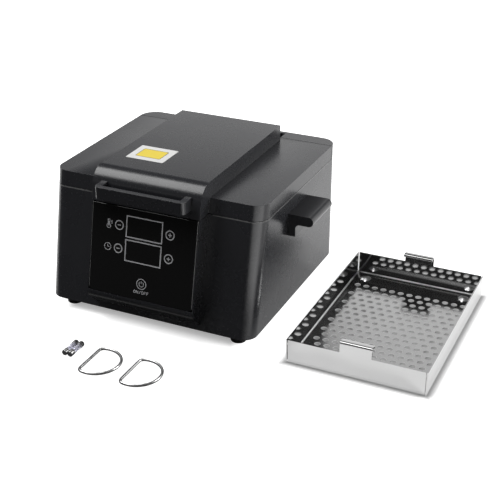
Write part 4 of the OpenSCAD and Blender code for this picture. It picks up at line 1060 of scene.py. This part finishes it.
bm = bmesh.new()
bmesh.ops.create_grid(bm, x_segments=1, y_segments=1, size=FLOOR_SIZE)
floor_mesh = finished(bm, "studio_floor")
floor_mesh.materials.append(studio_floor())
floor = bpy.data.objects.new("studio_floor", floor_mesh)
floor.location.z = -FLOOR_BELOW
bpy.context.scene.collection.objects.link(floor)

# the room is dim but for a bright wall behind and a faint panel in front; the wall is higher left of
# its middle, and less bright at its far left and along its top
ROOM_LEVEL, WALL_LEVEL, PANEL_LEVEL = 0.05, 1.1, 0.3
WALL_TOP, WALL_HIGHER, LEFT_DIM, TOP_DIM = (0.34, 0.46), 0.2, 0.6, 0.25
world = bpy.data.worlds.new("studio")
bpy.context.scene.world = world
room = Finish(world)
ray = room.node("ShaderNodeTexCoord", out="Generated")
to_right, to_back, upward = (room.node("ShaderNodeSeparateXYZ", None, {0: ray}, i) for i in range(3))
wall_up = upward - to_right.steps(-0.40, -0.22) * (1 - to_right.steps(-0.12, 0.06)) * WALL_HIGHER
wall = to_back.steps(0.1, 0.5) * (1 - wall_up.steps(*WALL_TOP))
wall *= 1 - LEFT_DIM * (0 - to_right).steps(0.46, 0.62)
wall *= 1 - TOP_DIM * upward.steps(0.42, 0.5)
front_panel = (0 - to_back).steps(0.3, 0.7) * (1 - to_right.steps(-0.1, 0.1)) \
    * upward.steps(0.02, 0.12) * (1 - upward.steps(0.24, 0.34))
level = (ROOM_LEVEL + wall * WALL_LEVEL + front_panel * PANEL_LEVEL).largest(
    room.node("ShaderNodeLightPath", out="Is Camera Ray"))
room.output(room.node("ShaderNodeBackground", None, {"Color": grey(1.0), "Strength": level}),
            "ShaderNodeOutputWorld")


def softbox(name, place, aim, width, length, watts):
    """A rectangular lamp, unseen by the camera, that points at aim. Sizes are in metres."""
    data = bpy.data.lights.new(name, "AREA")
    data.shape = "RECTANGLE"
    data.size, data.size_y = width, length
    data.energy = watts
    lamp = bpy.data.objects.new(name, data)
    lamp.location = place
    lamp.rotation_mode = "QUATERNION"
    lamp.rotation_quaternion = (Vector(aim) - Vector(place)).to_track_quat("-Z", "Y")
    lamp.visible_camera = False
    bpy.context.scene.collection.objects.link(lamp)


softbox("overhead_softbox", (-0.75, -0.40, 1.3), (-0.75, -0.40, 0), 0.75, 1.2, 19)
softbox("right_softbox", (1.5, 0.8, 0.9), (0, 0, 0.05), 0.5, 0.9, 20)
softbox("fold_softbox", (-0.10, -0.05, 1.3), (-0.10, -0.05, 0), 0.22, 0.8, 3)
